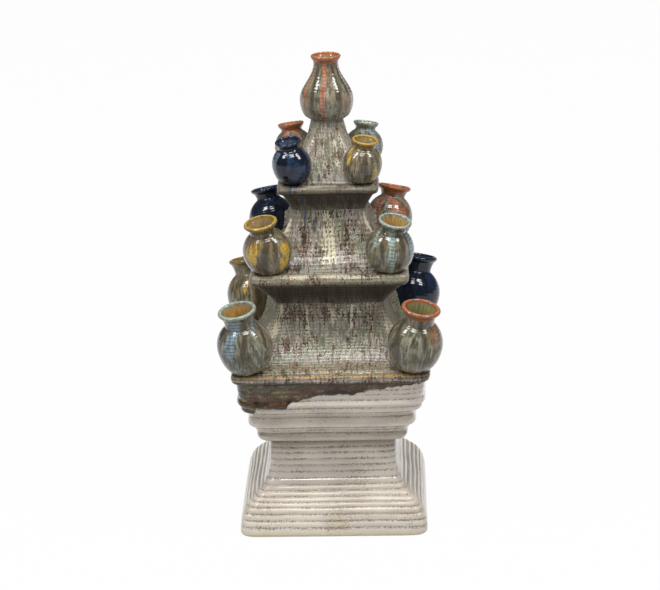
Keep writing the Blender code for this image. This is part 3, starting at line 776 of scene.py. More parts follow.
def path_length(path):
    """Distance along a broken line at each of its points, measured in its first two columns."""
    return np.concatenate(([0], np.cumsum(np.hypot(*np.diff(path[:, :2], axis=0).T))))


def even_path(path, spacing):
    """The same broken line with points spaced evenly along it."""
    length = path_length(path)
    stations = np.linspace(0, length[-1], max(2, round(length[-1] / spacing) + 1))
    return np.column_stack([np.interp(stations, length, column) for column in path.T])


def softened(path, spacing, reach):
    """Even path with its corners rounded: each point becomes a weighted mean of those within its reach."""
    even = even_path(path, spacing)
    weights = np.hanning(2 * round(reach / spacing) + 3)
    weights = weights / weights.sum()
    margin = len(weights) // 2
    padded = np.pad(even, ((margin, margin), (0, 0)), mode="reflect", reflect_type="odd")
    return np.column_stack([np.convolve(column, weights, "valid") for column in padded.T])


def outward(rings):
    """Unit normals of a grid of rings: the way round a ring crossed with the way from ring to ring."""
    around = np.roll(rings, -1, axis=1) - np.roll(rings, 1, axis=1)
    normal = np.cross(around, np.gradient(rings, axis=0))
    return normal / np.maximum(np.linalg.norm(normal, axis=-1, keepdims=True), 1e-12)


def raised(rings, relief):
    """Rings with each point moved along its normal by the relief."""
    return rings + relief[..., None] * outward(rings)


def wave(points, reach, seed):
    """Smooth random relief, about -1 to 1: a mean of sine waves that cross space in random directions."""
    random = np.random.default_rng(seed)
    total = np.zeros(points.shape[:-1])
    for _ in range(6):
        direction = random.normal(size=3)
        direction *= 2 * math.pi / (reach * np.linalg.norm(direction))
        total += np.sin(points @ direction + random.uniform(0, 2 * math.pi))
    return total / 2.5


def bump_at(value, centre, half_width):
    """Bell curve of height 1 about a centre."""
    return np.exp(-((value - centre) / half_width) ** 2)


def ramp(value, low, high):
    """Straight ramp from 0 at low to 1 at high."""
    return np.clip((value - low) / (high - low), 0, 1)


def ridges(length, pitch):
    """Throwing ridges along a surface: 0 in a groove and 1 on a crest, with rounded crests."""
    return np.abs(np.sin(math.pi * length / pitch)) ** 0.8


def plan_flow(rings):
    """Flow coordinates of a square piece: across a face, and half-width less height as the way down.

    Each coordinate of the plan is kept in the middle of a face and goes to a fixed reach towards its corners.
    """
    plan = rings[..., :2]
    width = np.abs(plan).max(axis=-1, keepdims=True)
    corner = ramp(np.abs(plan) / width, 0.8, 1) ** 2
    across = plan + corner * (np.sign(plan) * FLOW_REACH - plan)
    return np.concatenate((across, width - rings[..., 2:]), axis=-1)


def stacked(*channels):
    """Three channels of a vector attribute, each a grid or one number."""
    return np.stack(np.broadcast_arrays(*channels), axis=-1)


def with_inside(grid, inside, value=0):
    """A grid of the outside with a row of one value added for each ring of the inside."""
    return np.pad(grid, ((0, len(inside)), (0, 0)), constant_values=value)


def closed_faces(rings, count, capped):
    """Quads between neighbouring rings; the last ring joins the first, or each end closes on a pole."""
    ring = np.arange(rings - 1 if capped else rings)[:, None]
    point = np.arange(count)[None, :]
    following = (ring + 1) % rings
    beside = (point + 1) % count
    corners = (
        ring * count + point, ring * count + beside, following * count + beside, following * count + point)
    faces = np.stack(np.broadcast_arrays(*corners), axis=-1).reshape(-1, 4).tolist()
    if capped:
        here = np.arange(count)
        after = (here + 1) % count
        last = (rings - 1) * count
        first_pole = rings * count
        faces += np.column_stack((after, here, np.full(count, first_pole))).tolist()
        faces += np.column_stack((last + here, last + after, np.full(count, first_pole + 1))).tolist()
    return faces


def add_piece(node, rings, attributes, material, poles=None):
    """Skin the rings to a smooth closed mesh that stands for a CAD node; attributes go on its points."""
    grid = rings.shape[:2]
    points = rings.reshape(-1, 3)
    if poles is not None:
        points = np.concatenate((points, poles))
    mesh = bpy.data.meshes.new(node + "_glazed")
    mesh.from_pydata(points.tolist(), [], closed_faces(*grid, poles is not None))
    for name, values in attributes.items():
        flat = np.broadcast_to(values, (*grid, 3)).reshape(-1, 3)
        if poles is not None:
            flat = np.concatenate((flat, flat[:1], flat[-1:]))
        layer = mesh.attributes.new(name, "FLOAT_VECTOR", "POINT")
        layer.data.foreach_set("vector", flat.astype(np.float32).ravel())
    mesh.shade_smooth()
    mesh.set_sharp_from_angle(angle=EDGE_ANGLE)
    mesh.materials.append(material)
    piece = bpy.data.objects.new(node + "_glazed", mesh)
    bpy.context.scene.collection.objects.link(piece)
    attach(piece, "root")
    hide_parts(node)


def finished(glaze, make, *settings):
    """The material of a glaze, made on first use."""
    return bpy.data.materials.get(glaze + FIRED) or make(*settings)


def foot_section(height, inset, waist, top):
    """Half section of the foot: upright at the table and at the waist, with a tanh slope between them."""
    slope = 0.5 * (1 - np.tanh((height - FOOT_SLOPE_HEIGHT) / FOOT_SLOPE_REACH))
    width = waist + (FOOT_HALF_WIDTH - waist) * slope
    squareness = FOOT_SQUARENESS + (WAIST_SQUARENESS - FOOT_SQUARENESS) * height / top
    return plan_profile(width - inset, height, squareness)


def build_foot(form, colours):
    """Pedestal foot: its half section carried round the plan, with rounded ribs between its cut grooves.

    A rib's height is 1 less a power of the distance from its middle. Front and back have slightly deeper ribs
    than the sides.
    """
    node = "pedestal_foot"
    _, bottom, top = span(node)
    waist = half_width_at("pedestal_coping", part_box("pedestal_coping")[0].z)
    edge = foot_section(np.array([bottom]), FOOT_EDGE, waist, top)
    wall = foot_section(np.linspace(FOOT_EDGE, top + LUTING, 300), 0, waist, top)
    outside = softened(np.concatenate((edge, wall)), *FOOT_SOFTENING)
    inside = foot_section(np.linspace(top + LUTING, bottom, 14), FOOT_WALL, waist, top)
    rings = plan_rings(outside, PLAN_COUNT)
    knots = np.concatenate(([0], FOOT_GROOVES, [top]))
    wander = form.hand_wave * wave(rings * (1, 1, 0.3), *FOOT_RIB_WAVE)
    phase = np.interp(rings[..., 2] + wander, knots, np.arange(len(knots)))
    ridge = 1 - np.abs(2 * (phase % 1) - 1) ** RIB_ROUNDNESS
    _, walk = square_walk(PLAN_COUNT)
    front = ramp(np.abs(walk[:, 1]), 0.9, 1)
    depth = form.rib_depth * ramp(rings[..., 2], *RIB_FADE) * (0.85 + 0.15 * front)
    rings = raised(rings, depth * (ridge - 1) + 0.5 * form.hand_wave * wave(rings, *FOOT_WALL_WAVE))
    rings[0, :, 2] = bottom
    rings = np.concatenate((rings, plan_rings(inside, PLAN_COUNT)))
    ridge = 1 - with_inside(1 - ridge, inside) * (0.7 + 0.3 * front)
    height = rings[..., 2]
    # Painted shade over the slope, on the sides, and at the waist under the coping
    slope_shade = ramp(height, *SLOPE_SHADE_TOP) * ramp(height, *SLOPE_SHADE_BOTTOM)
    foot_shade = np.maximum(slope_shade, 0.8 * (1 - front))
    foot_shade = np.maximum(foot_shade, 1.2 * ramp(height, *WAIST_SHADE))
    attributes = {"form": stacked(ridge, -1.0, foot_shade)}
    add_piece(node, rings, attributes, finished("white", white_glaze, colours))


def build_coping(form, colours):
    """Stepped coping: its CAD profile with softened edges, rolls and fine cut lines, and runs from above.

    Rolls, creases and lines are bell curves over the height. The run covers what is less far below the top
    than its drop at that place round the plan.
    """
    node = "pedestal_coping"
    _, _, top = span(node)
    profile = cad_profile(node)
    profile[0, 1] -= LUTING
    profile[-1, 1] += LUTING
    profile = plan_profile(*profile.T, WAIST_SQUARENESS)
    outside = softened(profile, *COPING_SOFTENING)
    inside = profile[::-1] - (WALL, 0, 0, 0)
    rings = plan_rings(outside, PLAN_COUNT)
    height = rings[..., 2]
    level = (height + form.hand_wave * wave(rings * (1, 1, 0.3), *COPING_LINE_WAVE))[..., None]
    lines = bump_at(level, COPING_LINES, COPING_LINE_WIDTH).max(axis=-1)
    roll_heights, roll_reaches, roll_widths = COPING_ROLLS.T
    rolls = (roll_reaches * bump_at(level, roll_heights, roll_widths)).sum(axis=-1)
    # Painted shade in the creases between the rolls and on the coping's underside
    painted_shade = np.maximum(ramp(rolls, *CREASE_SHADE), 0.7 * ramp(height, *COPING_SHADE))
    places, _ = square_walk(PLAN_COUNT)
    cover = height - top + np.interp(places, RUN_PLACES, RUN_DROPS, period=8)
    relief = 0.6 * form.hand_wave * wave(rings, *COPING_WALL_WAVE) - form.line_depth * lines + rolls
    relief = relief + RUN_THICKNESS * ramp(cover, *RUN_RISE)
    rings = np.concatenate((raised(rings, relief), plan_rings(inside, PLAN_COUNT)))
    ridge = with_inside(1 - lines, inside, 1)
    attributes = {"form": stacked(ridge, with_inside(cover, inside, -1), with_inside(painted_shade, inside))}
    add_piece(node, rings, attributes, finished("white", white_glaze, colours))


def build_shelf(tier, form, colours):
    """Shelf slab: flat faces from a round vent out to a half-round lip with fine ridges."""
    node = tier + "_shelf"
    half_width, bottom, top = span(node)
    vent = VENT_RADII[tier]
    bell_toe = span(tier + "_bell")[0]
    middle = 0.5 * (bottom + top)
    angles = np.linspace(-0.5 * math.pi, 0.5 * math.pi, 30)
    lip = np.column_stack((
        half_width - SHELF_LIP_DEPTH * (1 - np.cos(angles)), middle + (top - middle) * np.sin(angles)))
    inner = bell_toe - SHELF_FLAT_INSET
    under = np.array([[vent, bottom], [0.5 * (vent + inner), bottom], [inner, bottom]])
    above = under[::-1] * (1, 0) + (0, top)
    fine = softened(np.concatenate((under[-1:], lip, above[:1])), *SHELF_SOFTENING)
    section = np.concatenate((under[:-1], fine, above[1:]))
    squareness = ROUND + (SHELF_SQUARENESS - ROUND) * ramp(section[:, 0], vent, inner)
    rings = plan_rings(plan_profile(*section.T, squareness), PLAN_COUNT)
    outer = ramp(np.abs(rings[..., :2]).max(axis=-1), inner, bell_toe)
    length = path_length(section)[:, None] + 0.8 * MM * wave(rings, *SHELF_RIDGE_WAVE)
    ridge = ridges(length, SHELF_RIDGE_PITCH)
    wander = 1.1 * form.hand_wave * wave(rings, *SHELF_LIP_WAVE)
    relief = outer * (form.ridge_depth * (ridge - 1) + wander)
    rings = raised(rings, relief)
    width = np.abs(rings[..., :2]).max(axis=-1)
    pool = 0.2 + 0.3 * ramp(width, bell_toe, half_width - 3 * MM)
    pool = POOL_SIGNS[tier] * (pool + 0.5 * ramp(rings[..., 2], top - 1 * MM, bottom + 1 * MM))
    places, _ = square_walk(PLAN_COUNT)
    cobalt = bump_at(places, *SHELF_DRIP) * (tier == "upper")
    # Painted shade darkens the lip and the underside, the upper lip most; the underside also takes more rust
    # and iron specks
    low = ramp(rings[..., 2], middle, bottom)
    attributes = {
        "flow": plan_flow(rings), "form": stacked(ridge, LIP_SHADES[tier] + 0.72 * low, pool),
        "glaze": stacked(0.0, 0.4 * low, cobalt)}
    add_piece(node, rings, attributes, finished("tower", tower_glaze, colours))


def vase_axis(tier, corner):
    """Matrix that stands a vase at a shelf corner: its foot's place, a turn outwards, then a lean."""
    side, depth = CORNERS[corner]
    size = VASES[tier]
    half_width, _, top = span(tier + "_shelf")
    seat = half_width - size["inset"]
    bearing = math.atan2(depth, side)
    turned = Matrix.Rotation(bearing, 4, "Z") @ Matrix.Rotation(size["lean"], 4, "Y")
    return Matrix.Translation((side * seat, depth * seat, top)) @ turned


def vase_outline(size):
    """Outside of a bud vase (radius, height) up to its neck: foot, quarter ellipse, then a circle's arc."""
    lower = np.linspace(-0.5 * math.pi, 0, 40)
    upper = np.linspace(0, math.acos(size["neck"] / size["belly"]), 40)[1:]
    swell = size["belly"] - size["foot"]
    centre = VASE_FOOT_HEIGHT + size["belly_height"]
    foot = np.array([[size["foot"], 0.0]])
    belly = np.column_stack((
        size["foot"] + swell * np.cos(lower), centre + size["belly_height"] * np.sin(lower)))
    shoulder = np.column_stack((size["belly"] * np.cos(upper), centre + size["belly"] * np.sin(upper)))
    return np.concatenate((foot, belly, shoulder))


def trumpet(neck, mouth, bottom, top):
    """Flaring mouth: radius grows from the neck with the square of the rise."""
    rise = np.linspace(0, 1, 24)
    return np.column_stack((neck + (mouth - neck) * rise ** 2, bottom + (top - bottom) * rise))


def half_round(radius, width, height):
    """Rounded lip: a half circle from a mouth's outer edge over to its inner edge."""
    angles = np.linspace(0, math.pi, 14)[1:-1]
    return np.column_stack((
        radius - 0.5 * width * (1 - np.cos(angles)), height + 0.5 * width * np.sin(angles)))


def seat_bell(rings, tier, form):
    """Fit a bell round its vases: sunk points are drawn out to just under a vase's skin, beside a bead.

    A point's gap from a vase is its radius about the vase's axis less the outline's radius at its height.
    """
    outline = vase_outline(VASES[tier])
    normals = outward(rings)
    for corner in CORNERS:
        axis = np.array(vase_axis(tier, corner))
        local = (rings - axis[:3, 3]) @ axis[:3, :3]
        radius = np.hypot(local[..., 0], local[..., 1])
        skin = np.interp(local[..., 2], outline[:, 1], outline[:, 0], left=0, right=0)
        gap = np.where(skin > 0, radius - skin, 1.0)
        sunk = np.maximum(-SEAT_DEPTH - gap, 0)
        draw = local * (1, 1, 0) / np.maximum(radius, 1e-6)[..., None]
        rings = rings + (draw * sunk[..., None]) @ axis[:3, :3].T
        bead = form.bead_height * bump_at(np.maximum(gap, -1 * MM), BEAD_PLACE, BEAD_WIDTH)
        rings = rings + bead[..., None] * normals
    return rings


def bell_runs(tier, rings, rise):
    """Cream, iron and cobalt channels of a bell: each run is a bell curve across, with ramps at its ends."""
    places, _ = square_walk(rings.shape[1])
    channels = [np.zeros(rings.shape[:2]) for _ in range(3)]
    for channel, place, half_width, start, end in BELL_RUNS[tier]:
        across = (places - place + 4) % 8 - 4
        length = ramp(rise, end - 0.08, end + 0.04) * ramp(rise, start + 0.04, start - 0.04)
        channels[channel] = np.maximum(channels[channel], bump_at(across, 0, half_width) * length)
    return channels


def build_bell(tier, form, colours):
    """Bell wall: top half-width, plus a taper, plus a flare that grows with a power of the way down.

    Its corners reach out furthest a third of the way up, with the rise times the square of what is left.
    """
    node = tier + "_bell"
    toe, bottom, top = span(node)
    top_width = half_width_at(node, top)
    shape = BELLS[tier]
    taper = shape["taper"]
    heights = np.linspace(bottom - LUTING, top + LUTING, 300)
    left = 1 - ramp(heights, bottom, top)
    width = top_width + taper * left + (toe - top_width - taper) * left ** shape["flare_power"]
    squareness = shape["squareness"] + (BELL_SQUARENESS - shape["squareness"]) * left ** BELL_CORNER_FADE
    reach = shape["corner_reach"] * (1 - left) * left ** 2 / CORNER_REACH_PEAK
    outside = even_path(plan_profile(width, heights, squareness, reach), RING_SPACING)
    down = np.linspace(0, 1, 8)
    inner_heights = top + LUTING - down * (top - bottom + 2 * LUTING)
    inside = plan_profile(top_width - WALL + taper * down, inner_heights, shape["squareness"])
    rings = plan_rings(outside, PLAN_COUNT)
    rise = ramp(rings[..., 2], bottom, top)
    seed = BELL_SEED + TIERS.index(tier)
    length = path_length(outside)[:, None] + MM * wave(rings * (1, 1, 0.4), BELL_RIDGE_REACH, seed)
    ridge = 1 - shape["ridge_share"] * (1 - ridges(length, shape["ridge"] * form.ridge_pitch))
    relief = form.ridge_depth * (ridge - 1) * (0.7 + 0.3 * wave(rings, BELL_DEPTH_REACH, seed + 10))
    relief = relief + 0.8 * form.hand_wave * wave(rings, BELL_WALL_REACH, seed + 20)
    rings = seat_bell(raised(rings, relief), tier, form)
    runs = bell_runs(tier, rings, rise)
    pool = POOL_SIGNS[tier] * 0.2 * ramp(rise, 0.18, 0)
    # Painted shade: each tier's own share, and more towards the toe
    shade = TIER_SHADES[tier] + 0.22 * ramp(rise, 0.16, 0.04)
    rings = np.concatenate((rings, plan_rings(inside, PLAN_COUNT)))
    ridge, shade, pool, *runs = (with_inside(grid, inside) for grid in (ridge, shade, pool, *runs))
    attributes = {"flow": plan_flow(rings), "form": stacked(ridge, shade, pool), "glaze": stacked(*runs)}
    add_piece(node, rings, attributes, finished("tower", tower_glaze, colours))


def build_cup(tier, form, colours):
    """Cup under the next shelf: half-width grows from the bell's top with a power of the rise."""
    node = tier + "_cup"
    rim, bottom, top = span(node)
    base = half_width_at(tier + "_bell", span(tier + "_bell")[2])
    squareness = BELLS[tier]["squareness"]
    heights = np.linspace(bottom - LUTING, top + LUTING, 120)
    width = base + (rim - base) * ramp(heights, bottom, top) ** CUP_FLARE_POWER
    section = plan_profile(width, heights, squareness)
    outside = even_path(section, RING_SPACING)
    thickness = WALL * math.hypot(1, (rim - base) / (top - bottom))
    inside = section[::-1][:: len(heights) // 8] - (thickness, 0, 0, 0)
    rings = plan_rings(outside, PLAN_COUNT)
    length = path_length(outside)[:, None] + 0.8 * MM * wave(rings, *CUP_RIDGE_WAVE)
    ridge = ridges(length, CUP_RIDGE_PITCH)
    relief = form.ridge_depth * (ridge - 1) + 0.6 * form.hand_wave * wave(rings, *CUP_WALL_WAVE)
    rings = np.concatenate((raised(rings, relief), plan_rings(inside, PLAN_COUNT)))
    ridge = with_inside(ridge, inside)
    places, _ = square_walk(PLAN_COUNT)
    cobalt = bump_at(places, *CUP_DRIP) * (tier == "middle")
    # Painted shade over the whole cup, strongest in its upper half and weaker under the blue drip; more rust
    # and iron specks too
    shade = (0.65 + 0.3 * ramp(rings[..., 2], bottom, 0.5 * (bottom + top))) * (1 - 0.5 * cobalt)
    attributes = {
        "flow": plan_flow(rings) * (1, 1, 3), "form": stacked(ridge, shade, 0.0),
        "glaze": stacked(0.0, 0.3, cobalt)}
    add_piece(node, rings, attributes, finished("tower", tower_glaze, colours))


def vase_material(colour, colours):
    """The glaze of vases of one colour: cobalt covers the whole body, the others run over a mottled one.

    The mottled body is olive and sage with ochre patches. Under yellow the sage gives way to straw, and under
    orange the ochre gives way to sienna.
    """
    pale = colours.straw if colour == "yellow" else colours.sage
    warm = colours.sienna if colour == "orange" else colours.ochre
    body = (colours.drab, pale, warm, colours.lavender, colours.bark)
    if colour == "cobalt":
        body = (colours.cobalt, colours.cobalt, colours.cobalt_run, colours.cobalt_run, colours.cobalt)
    shades = [getattr(colours, colour + ending) for ending in ("", "_run", "_tint", "_inside")]
    return finished(colour, vase_glaze, colour, colours, body, shades, LADDER_SHARES[colour])


def runs_down(runs, bearing, down):
    """Run, stain and tint channels of a vase: bell curves over the bearing, with a ramp at their ends.

    Each run sways by a sine of the way down, and narrows towards its end. It starts at the mouth unless a
    start is given.
    """
    channels = [np.zeros(bearing.shape) for _ in range(3)]
    for number, (channel, centre, half_width, reach, *start) in enumerate(runs):
        sway = RUN_SWAY * np.sin(2 * math.pi * (1.7 * down + 0.37 * number))
        across = (bearing - centre - sway + 180) % 360 - 180
        width = half_width * (1.25 - 0.35 * ramp(down, 0, reach))
        share = bump_at(across, 0, width) * ramp(down, reach + 0.08, reach - 0.10)
        if start:
            share = share * ramp(down, start[0] - 0.08, start[0] + 0.04)
        channels[channel] = np.maximum(channels[channel], share)
    return channels


def build_turned(node, outside, inside, axis, form, colour, colours, seed):
    """A turned vase: its profile carried round its axis, with fine ridges outside and a roll below the lip.

    Its glaze goes by the way down from the lip and by the bearing from the front.
    """
    count = len(outside)
    profile = np.concatenate((outside, inside))
    rings = turned_rings(profile, TURN_COUNT)
    length = path_length(profile)
    lip = length[count - 1]
    below = (lip - length)[:, None]
    height = profile[:, 1:2]
    outer = (np.arange(len(profile)) < count)[:, None]
    ridge = ridges(below + 0.5 * MM * wave(rings, VASE_RIDGE_REACH, seed), form.vase_ridge_pitch)
    fade = ramp(below, *RIDGE_FADE_BELOW) * ramp(height, *RIDGE_FADE_ABOVE)
    relief = form.vase_ridge_depth * (ridge - 1) * fade
    relief = relief + LIP_ROLL * bump_at(below, LIP_ROLL_FALL, LIP_ROLL_WIDTH)
    wander = 0.7 * form.hand_wave * wave(rings, VASE_WALL_REACH, seed + 1)
    relief = relief + wander * ramp(height, *WANDER_FADE_ABOVE)
    rings = raised(rings, relief * outer)

    turn = np.array(axis)[:3, :3].T
    place = np.array(axis)[:3, 3]
    out = rings @ turn
    bearing = np.degrees(np.arctan2(out[..., 0], -out[..., 1]))
    down = below / lip
    run, stain, tint = runs_down(VASE_RUNS[node], bearing, down)
    # Darker towards the foot
    stain = np.maximum(stain, FOOT_DARKENING * ramp(down, *FOOT_DARKENING_RISE))
    stain = np.maximum(stain, COLLAR_STAIN * bump_at(down, *COLLAR_STAIN_PLACE))
    dip = RIM_DEPTHS.get(node, RIM_DEPTHS[colour])
    rim = ramp(below, dip + RIM_FADE, dip) * outer + (1 - outer) * ramp(below, *RIM_INSIDE)
    # Pale crest along the lip: partly glaze thinning over the edge, partly painted highlight
    rim = rim + bump_at(below, 0, RIM_CREST)
    interior = ramp(below, *LINING_FADE) * (1 - outer)
    offset = np.random.default_rng(seed).uniform(-1, 1, 3)
    radius = profile[:, 0].max()
    angle = np.arctan2(rings[..., 1], rings[..., 0])
    attributes = {
        "flow": stacked(radius * np.cos(angle), radius * np.sin(angle), below) + offset,
        "form": stacked(ridge, interior, tint * outer),
        "glaze": stacked(run * outer, stain * outer, rim)}
    poles = np.array([[0, 0, profile[0, 1]], [0, 0, profile[-1, 1]]]) @ turn + place
    add_piece(node, out + place, attributes, vase_material(colour, colours), poles)


def build_bud_vase(tier, corner, form, colours):
    """Bud vase: belly, trumpet mouth with a rounded lip, and a hollow that follows the outside."""
    size = VASES[tier]
    belly = vase_outline(size)
    lip_width = LIP_SHARE * size["mouth"]
    lip_side = belly[-1, 1] + size["neck_height"] - 0.5 * lip_width
    mouth = trumpet(size["neck"], size["mouth"], belly[-1, 1], lip_side)[1:]
    lip = half_round(size["mouth"], lip_width, lip_side)
    start = np.array([[POLE_RADIUS, 0.0]])
    outside = softened(np.concatenate((start, belly, mouth)), *VASE_SOFTENING)
    outside = np.concatenate((outside, lip[:LIP_OUTER_POINTS]))
    hollow = size["belly"] - VASE_WALL
    inner_neck = size["neck"] - VASE_WALL
    upper = np.linspace(math.acos(inner_neck / hollow), 0, 12)
    lower = np.linspace(0, -0.5 * math.pi, 10)[1:-1]
    centre = VASE_FOOT_HEIGHT + size["belly_height"]
    depth = size["belly_height"] - VASE_FLOOR
    shoulder = np.column_stack((hollow * np.cos(upper), centre + hollow * np.sin(upper)))
    bowl = np.column_stack((hollow * np.cos(lower), centre + depth * np.sin(lower)))
    throat = trumpet(inner_neck, size["mouth"] - lip_width, shoulder[0, 1], lip_side)[::-1]
    floor = np.array([[POLE_RADIUS, centre - depth]])
    lining = softened(np.concatenate((throat, shoulder[1:], bowl, floor)), *HOLLOW_SOFTENING)
    inside = np.concatenate((lip[LIP_OUTER_POINTS:], lining))
    number = list(CORNERS).index(corner)
    seed = VASE_SEED + 10 * TIERS.index(tier) + number
    node = f"{tier}_vase_{corner}"
    axis = vase_axis(tier, corner)
    build_turned(node, outside, inside, axis, form, VASE_COLOURS[tier][number], colours, seed)


def build_finial(form, colours):
    """Pear-shaped vase: a quarter ellipse up to the belly, a cosine shoulder, a neck and a flared lip."""
    size = FINIAL
    _, bottom, top = span("finial_vase")
    lower = np.linspace(-0.5 * math.pi, 0, 40)
    fall = np.linspace(0, math.pi, 60)[1:]
    swell = size["belly"] - size["foot"]
    draw_in = size["belly"] - size["neck"]
    foot_up = np.column_stack((
        size["foot"] + swell * np.cos(lower), size["belly_height"] * (1 + np.sin(lower))))
    shoulder = np.column_stack((
        size["neck"] + 0.5 * draw_in * (1 + np.cos(fall)),
        size["belly_height"] + size["shoulder_height"] * fall / math.pi))
    lip_width = LIP_SHARE * size["mouth"]
    lip_side = top - bottom - 0.5 * lip_width
    mouth = trumpet(size["neck"], size["mouth"], shoulder[-1, 1], lip_side)[1:]
    lip = half_round(size["mouth"], lip_width, lip_side)
    start = np.array([[POLE_RADIUS, -LUTING]])
    body = np.concatenate((foot_up, shoulder, mouth))
    outside = softened(np.concatenate((start, body)), *VASE_SOFTENING)
    outside = np.concatenate((outside, lip[:LIP_OUTER_POINTS]))
    hollow = body[body[:, 1] > VASE_FLOOR][::-1] - (VASE_WALL, 0)
    hollow[:, 0] += (VASE_WALL - lip_width) * ramp(hollow[:, 1], shoulder[-1, 1], lip_side)
    floor = np.array([[size["foot"] - VASE_WALL, VASE_FLOOR], [POLE_RADIUS, VASE_FLOOR]])
    lining = softened(np.concatenate((hollow, floor)), *HOLLOW_SOFTENING)
    inside = np.concatenate((lip[LIP_OUTER_POINTS:], lining))
    axis = Matrix.Translation((0, 0, bottom))
    build_turned("finial_vase", outside, inside, axis, form, "orange", colours, FINIAL_SEED)


def soft_box(name, place, size, power, glints):
    """Area lamp at a place, turned towards the tower; the glaze mirrors it only where glints are wanted."""
    lamp = bpy.data.lights.new(name, "AREA")
    lamp.shape = "RECTANGLE"
    lamp.size, lamp.size_y = size
    lamp.energy = power
    item = bpy.data.objects.new(name, lamp)
    item.location = place
    item.visible_glossy = glints
    item.rotation_euler = (Vector(LAMP_AIM) - Vector(place)).to_track_quat("-Z", "Y").to_euler()
    bpy.context.scene.collection.objects.link(item)


def floor_material():
    """Pale floor: white to the camera and in reflections, with a share of lit colour that holds a shadow."""
    glaze = Glaze("floor")
    path = glaze.node("ShaderNodeLightPath", {}, {})
    outputs = path.socket.node.outputs
    seen = [Field(glaze, outputs[name]) for name in ("Is Camera Ray", "Is Glossy Ray", "Is Transmission Ray")]
    share = (seen[0] + seen[1] + seen[2]) * 0.98
    lit = glaze.node("ShaderNodeBsdfDiffuse", {}, {"Color": (0.5, 0.5, 0.5)})
    white = glaze.node("ShaderNodeEmission", {}, {"Color": (1, 1, 1), "Strength": 1.0})
    surface = glaze.node("ShaderNodeMixShader", {}, {0: share, 1: lit, 2: white})
    glaze.node("ShaderNodeOutputMaterial", {}, {"Surface": surface})
    glaze.material.cycles.emission_sampling = "NONE"
    return glaze.material


def build_stage(studio):
    """Floor, soft boxes, dim surround and the camera."""
    scene = bpy.context.scene
    mesh = bpy.data.meshes.new("studio_floor")
    corners = [(FLOOR_REACH * x, FLOOR_REACH * y, 0) for x, y in ((-1, -1), (1, -1), (1, 1), (-1, 1))]
    mesh.from_pydata(corners, [], [(0, 1, 2, 3)])
    mesh.materials.append(floor_material())
    floor = bpy.data.objects.new("studio_floor", mesh)
    scene.collection.objects.link(floor)

    for name, (place, size, share) in SOFT_BOXES.items():
        soft_box(name, place, size, share * studio.lamp_power, True)
    for name, (place, size, share) in FILLS.items():
        soft_box(name, place, size, share * studio.fill_power, False)

    world = scene.world or bpy.data.worlds.new("studio")
    scene.world = world
    world.use_nodes = True
    background = world.node_tree.nodes["Background"]
    background.inputs["Color"].default_value = (1, 1, 1, 1)
    background.inputs["Strength"].default_value = studio.surround

    target = Vector(studio.target)
    level = math.cos(studio.elevation)
    sight = Vector((
        math.sin(studio.azimuth) * level, -math.cos(studio.azimuth) * level, math.sin(studio.elevation)))
    right = Vector((0, 0, 1)).cross(sight).normalized()
    up = sight.cross(right)
    turn = Matrix.Rotation(-studio.roll, 3, sight)
    pose = Matrix((turn @ right, turn @ up, sight)).transposed().to_4x4()
    camera = bpy.data.cameras.new("camera")
    camera.lens = studio.lens
    camera.sensor_fit = "HORIZONTAL"
    camera.sensor_width = 36
    item = bpy.data.objects.new("camera", camera)
    item.matrix_world = Matrix.Translation(target + sight * studio.distance) @ pose
    scene.collection.objects.link(item)
    scene.camera = item
    scene.view_settings.view_transform = "Standard"


def piece_settings(context):
    """Form and glazes, from which every piece is made."""
    return context.scene.tower_form, context.scene.tower_glazes


class FLOWERTOWER_OT_pedestal(bpy.types.Operator):
    """Build the ribbed foot and the stepped coping"""

    bl_idname = "flower_tower.pedestal"
    bl_label = "Pedestal"

    def execute(self, context):
        build_foot(*piece_settings(context))
        build_coping(*piece_settings(context))
        return {"FINISHED"}


class FLOWERTOWER_OT_shelves(bpy.types.Operator):
    """Build the three shelves"""

    bl_idname = "flower_tower.shelves"
    bl_label = "Shelves"

    def execute(self, context):
        for tier in TIERS:
            build_shelf(tier, *piece_settings(context))
        return {"FINISHED"}


class FLOWERTOWER_OT_bells(bpy.types.Operator):
    """Build the three bell walls"""

    bl_idname = "flower_tower.bells"
    bl_label = "Bells"

    def execute(self, context):
        for tier in TIERS:
            build_bell(tier, *piece_settings(context))
        return {"FINISHED"}


class FLOWERTOWER_OT_cups(bpy.types.Operator):
    """Build the two cups under the middle and upper shelves"""

    bl_idname = "flower_tower.cups"
    bl_label = "Cups"

    def execute(self, context):
        for tier in TIERS[:2]:
            build_cup(tier, *piece_settings(context))
        return {"FINISHED"}


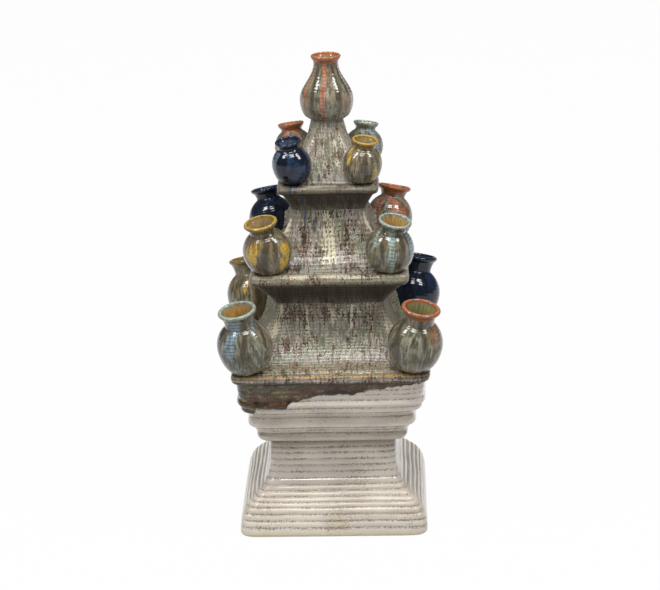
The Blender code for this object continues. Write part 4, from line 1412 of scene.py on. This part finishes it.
class FLOWERTOWER_OT_vases(bpy.types.Operator):
    """Build the twelve bud vases"""

    bl_idname = "flower_tower.vases"
    bl_label = "Bud vases"

    def execute(self, context):
        for tier in TIERS:
            for corner in CORNERS:
                build_bud_vase(tier, corner, *piece_settings(context))
        return {"FINISHED"}


class FLOWERTOWER_OT_finial(bpy.types.Operator):
    """Build the pear-shaped vase on top"""

    bl_idname = "flower_tower.finial"
    bl_label = "Finial vase"

    def execute(self, context):
        build_finial(*piece_settings(context))
        return {"FINISHED"}


class FLOWERTOWER_OT_stage(bpy.types.Operator):
    """Set up the floor, the light and the camera"""

    bl_idname = "flower_tower.stage"
    bl_label = "Stage"

    def execute(self, context):
        build_stage(context.scene.tower_studio)
        return {"FINISHED"}


OPERATORS = (
    FLOWERTOWER_OT_pedestal, FLOWERTOWER_OT_shelves, FLOWERTOWER_OT_bells, FLOWERTOWER_OT_cups,
    FLOWERTOWER_OT_vases, FLOWERTOWER_OT_finial, FLOWERTOWER_OT_stage)


class VIEW3D_PT_flower_tower(bpy.types.Panel):
    """Lists the pieces and the stage in the sidebar"""

    bl_label = "Flower Tower"
    bl_space_type = "VIEW_3D"
    bl_region_type = "UI"
    bl_category = "Flower Tower"

    def draw(self, context):
        for operator in OPERATORS:
            self.layout.operator(operator.bl_idname)


SETTINGS = {"tower_form": TowerForm, "tower_glazes": TowerGlazes, "tower_studio": TowerStudio}


def register():
    """Register the classes and hang the settings on the scene."""
    for item in (*SETTINGS.values(), *OPERATORS, VIEW3D_PT_flower_tower):
        bpy.utils.register_class(item)
    for name, group in SETTINGS.items():
        setattr(bpy.types.Scene, name, PointerProperty(type=group))


def unregister():
    """Undo register."""
    for name in SETTINGS:
        delattr(bpy.types.Scene, name)
    for item in (VIEW3D_PT_flower_tower, *OPERATORS, *SETTINGS.values()):
        bpy.utils.unregister_class(item)


def main():
    """Build every piece and the stage."""
    register()
    bpy.ops.flower_tower.pedestal()
    bpy.ops.flower_tower.shelves()
    bpy.ops.flower_tower.bells()
    bpy.ops.flower_tower.cups()
    bpy.ops.flower_tower.vases()
    bpy.ops.flower_tower.finial()
    bpy.ops.flower_tower.stage()


if __name__ == "__main__":
    main()
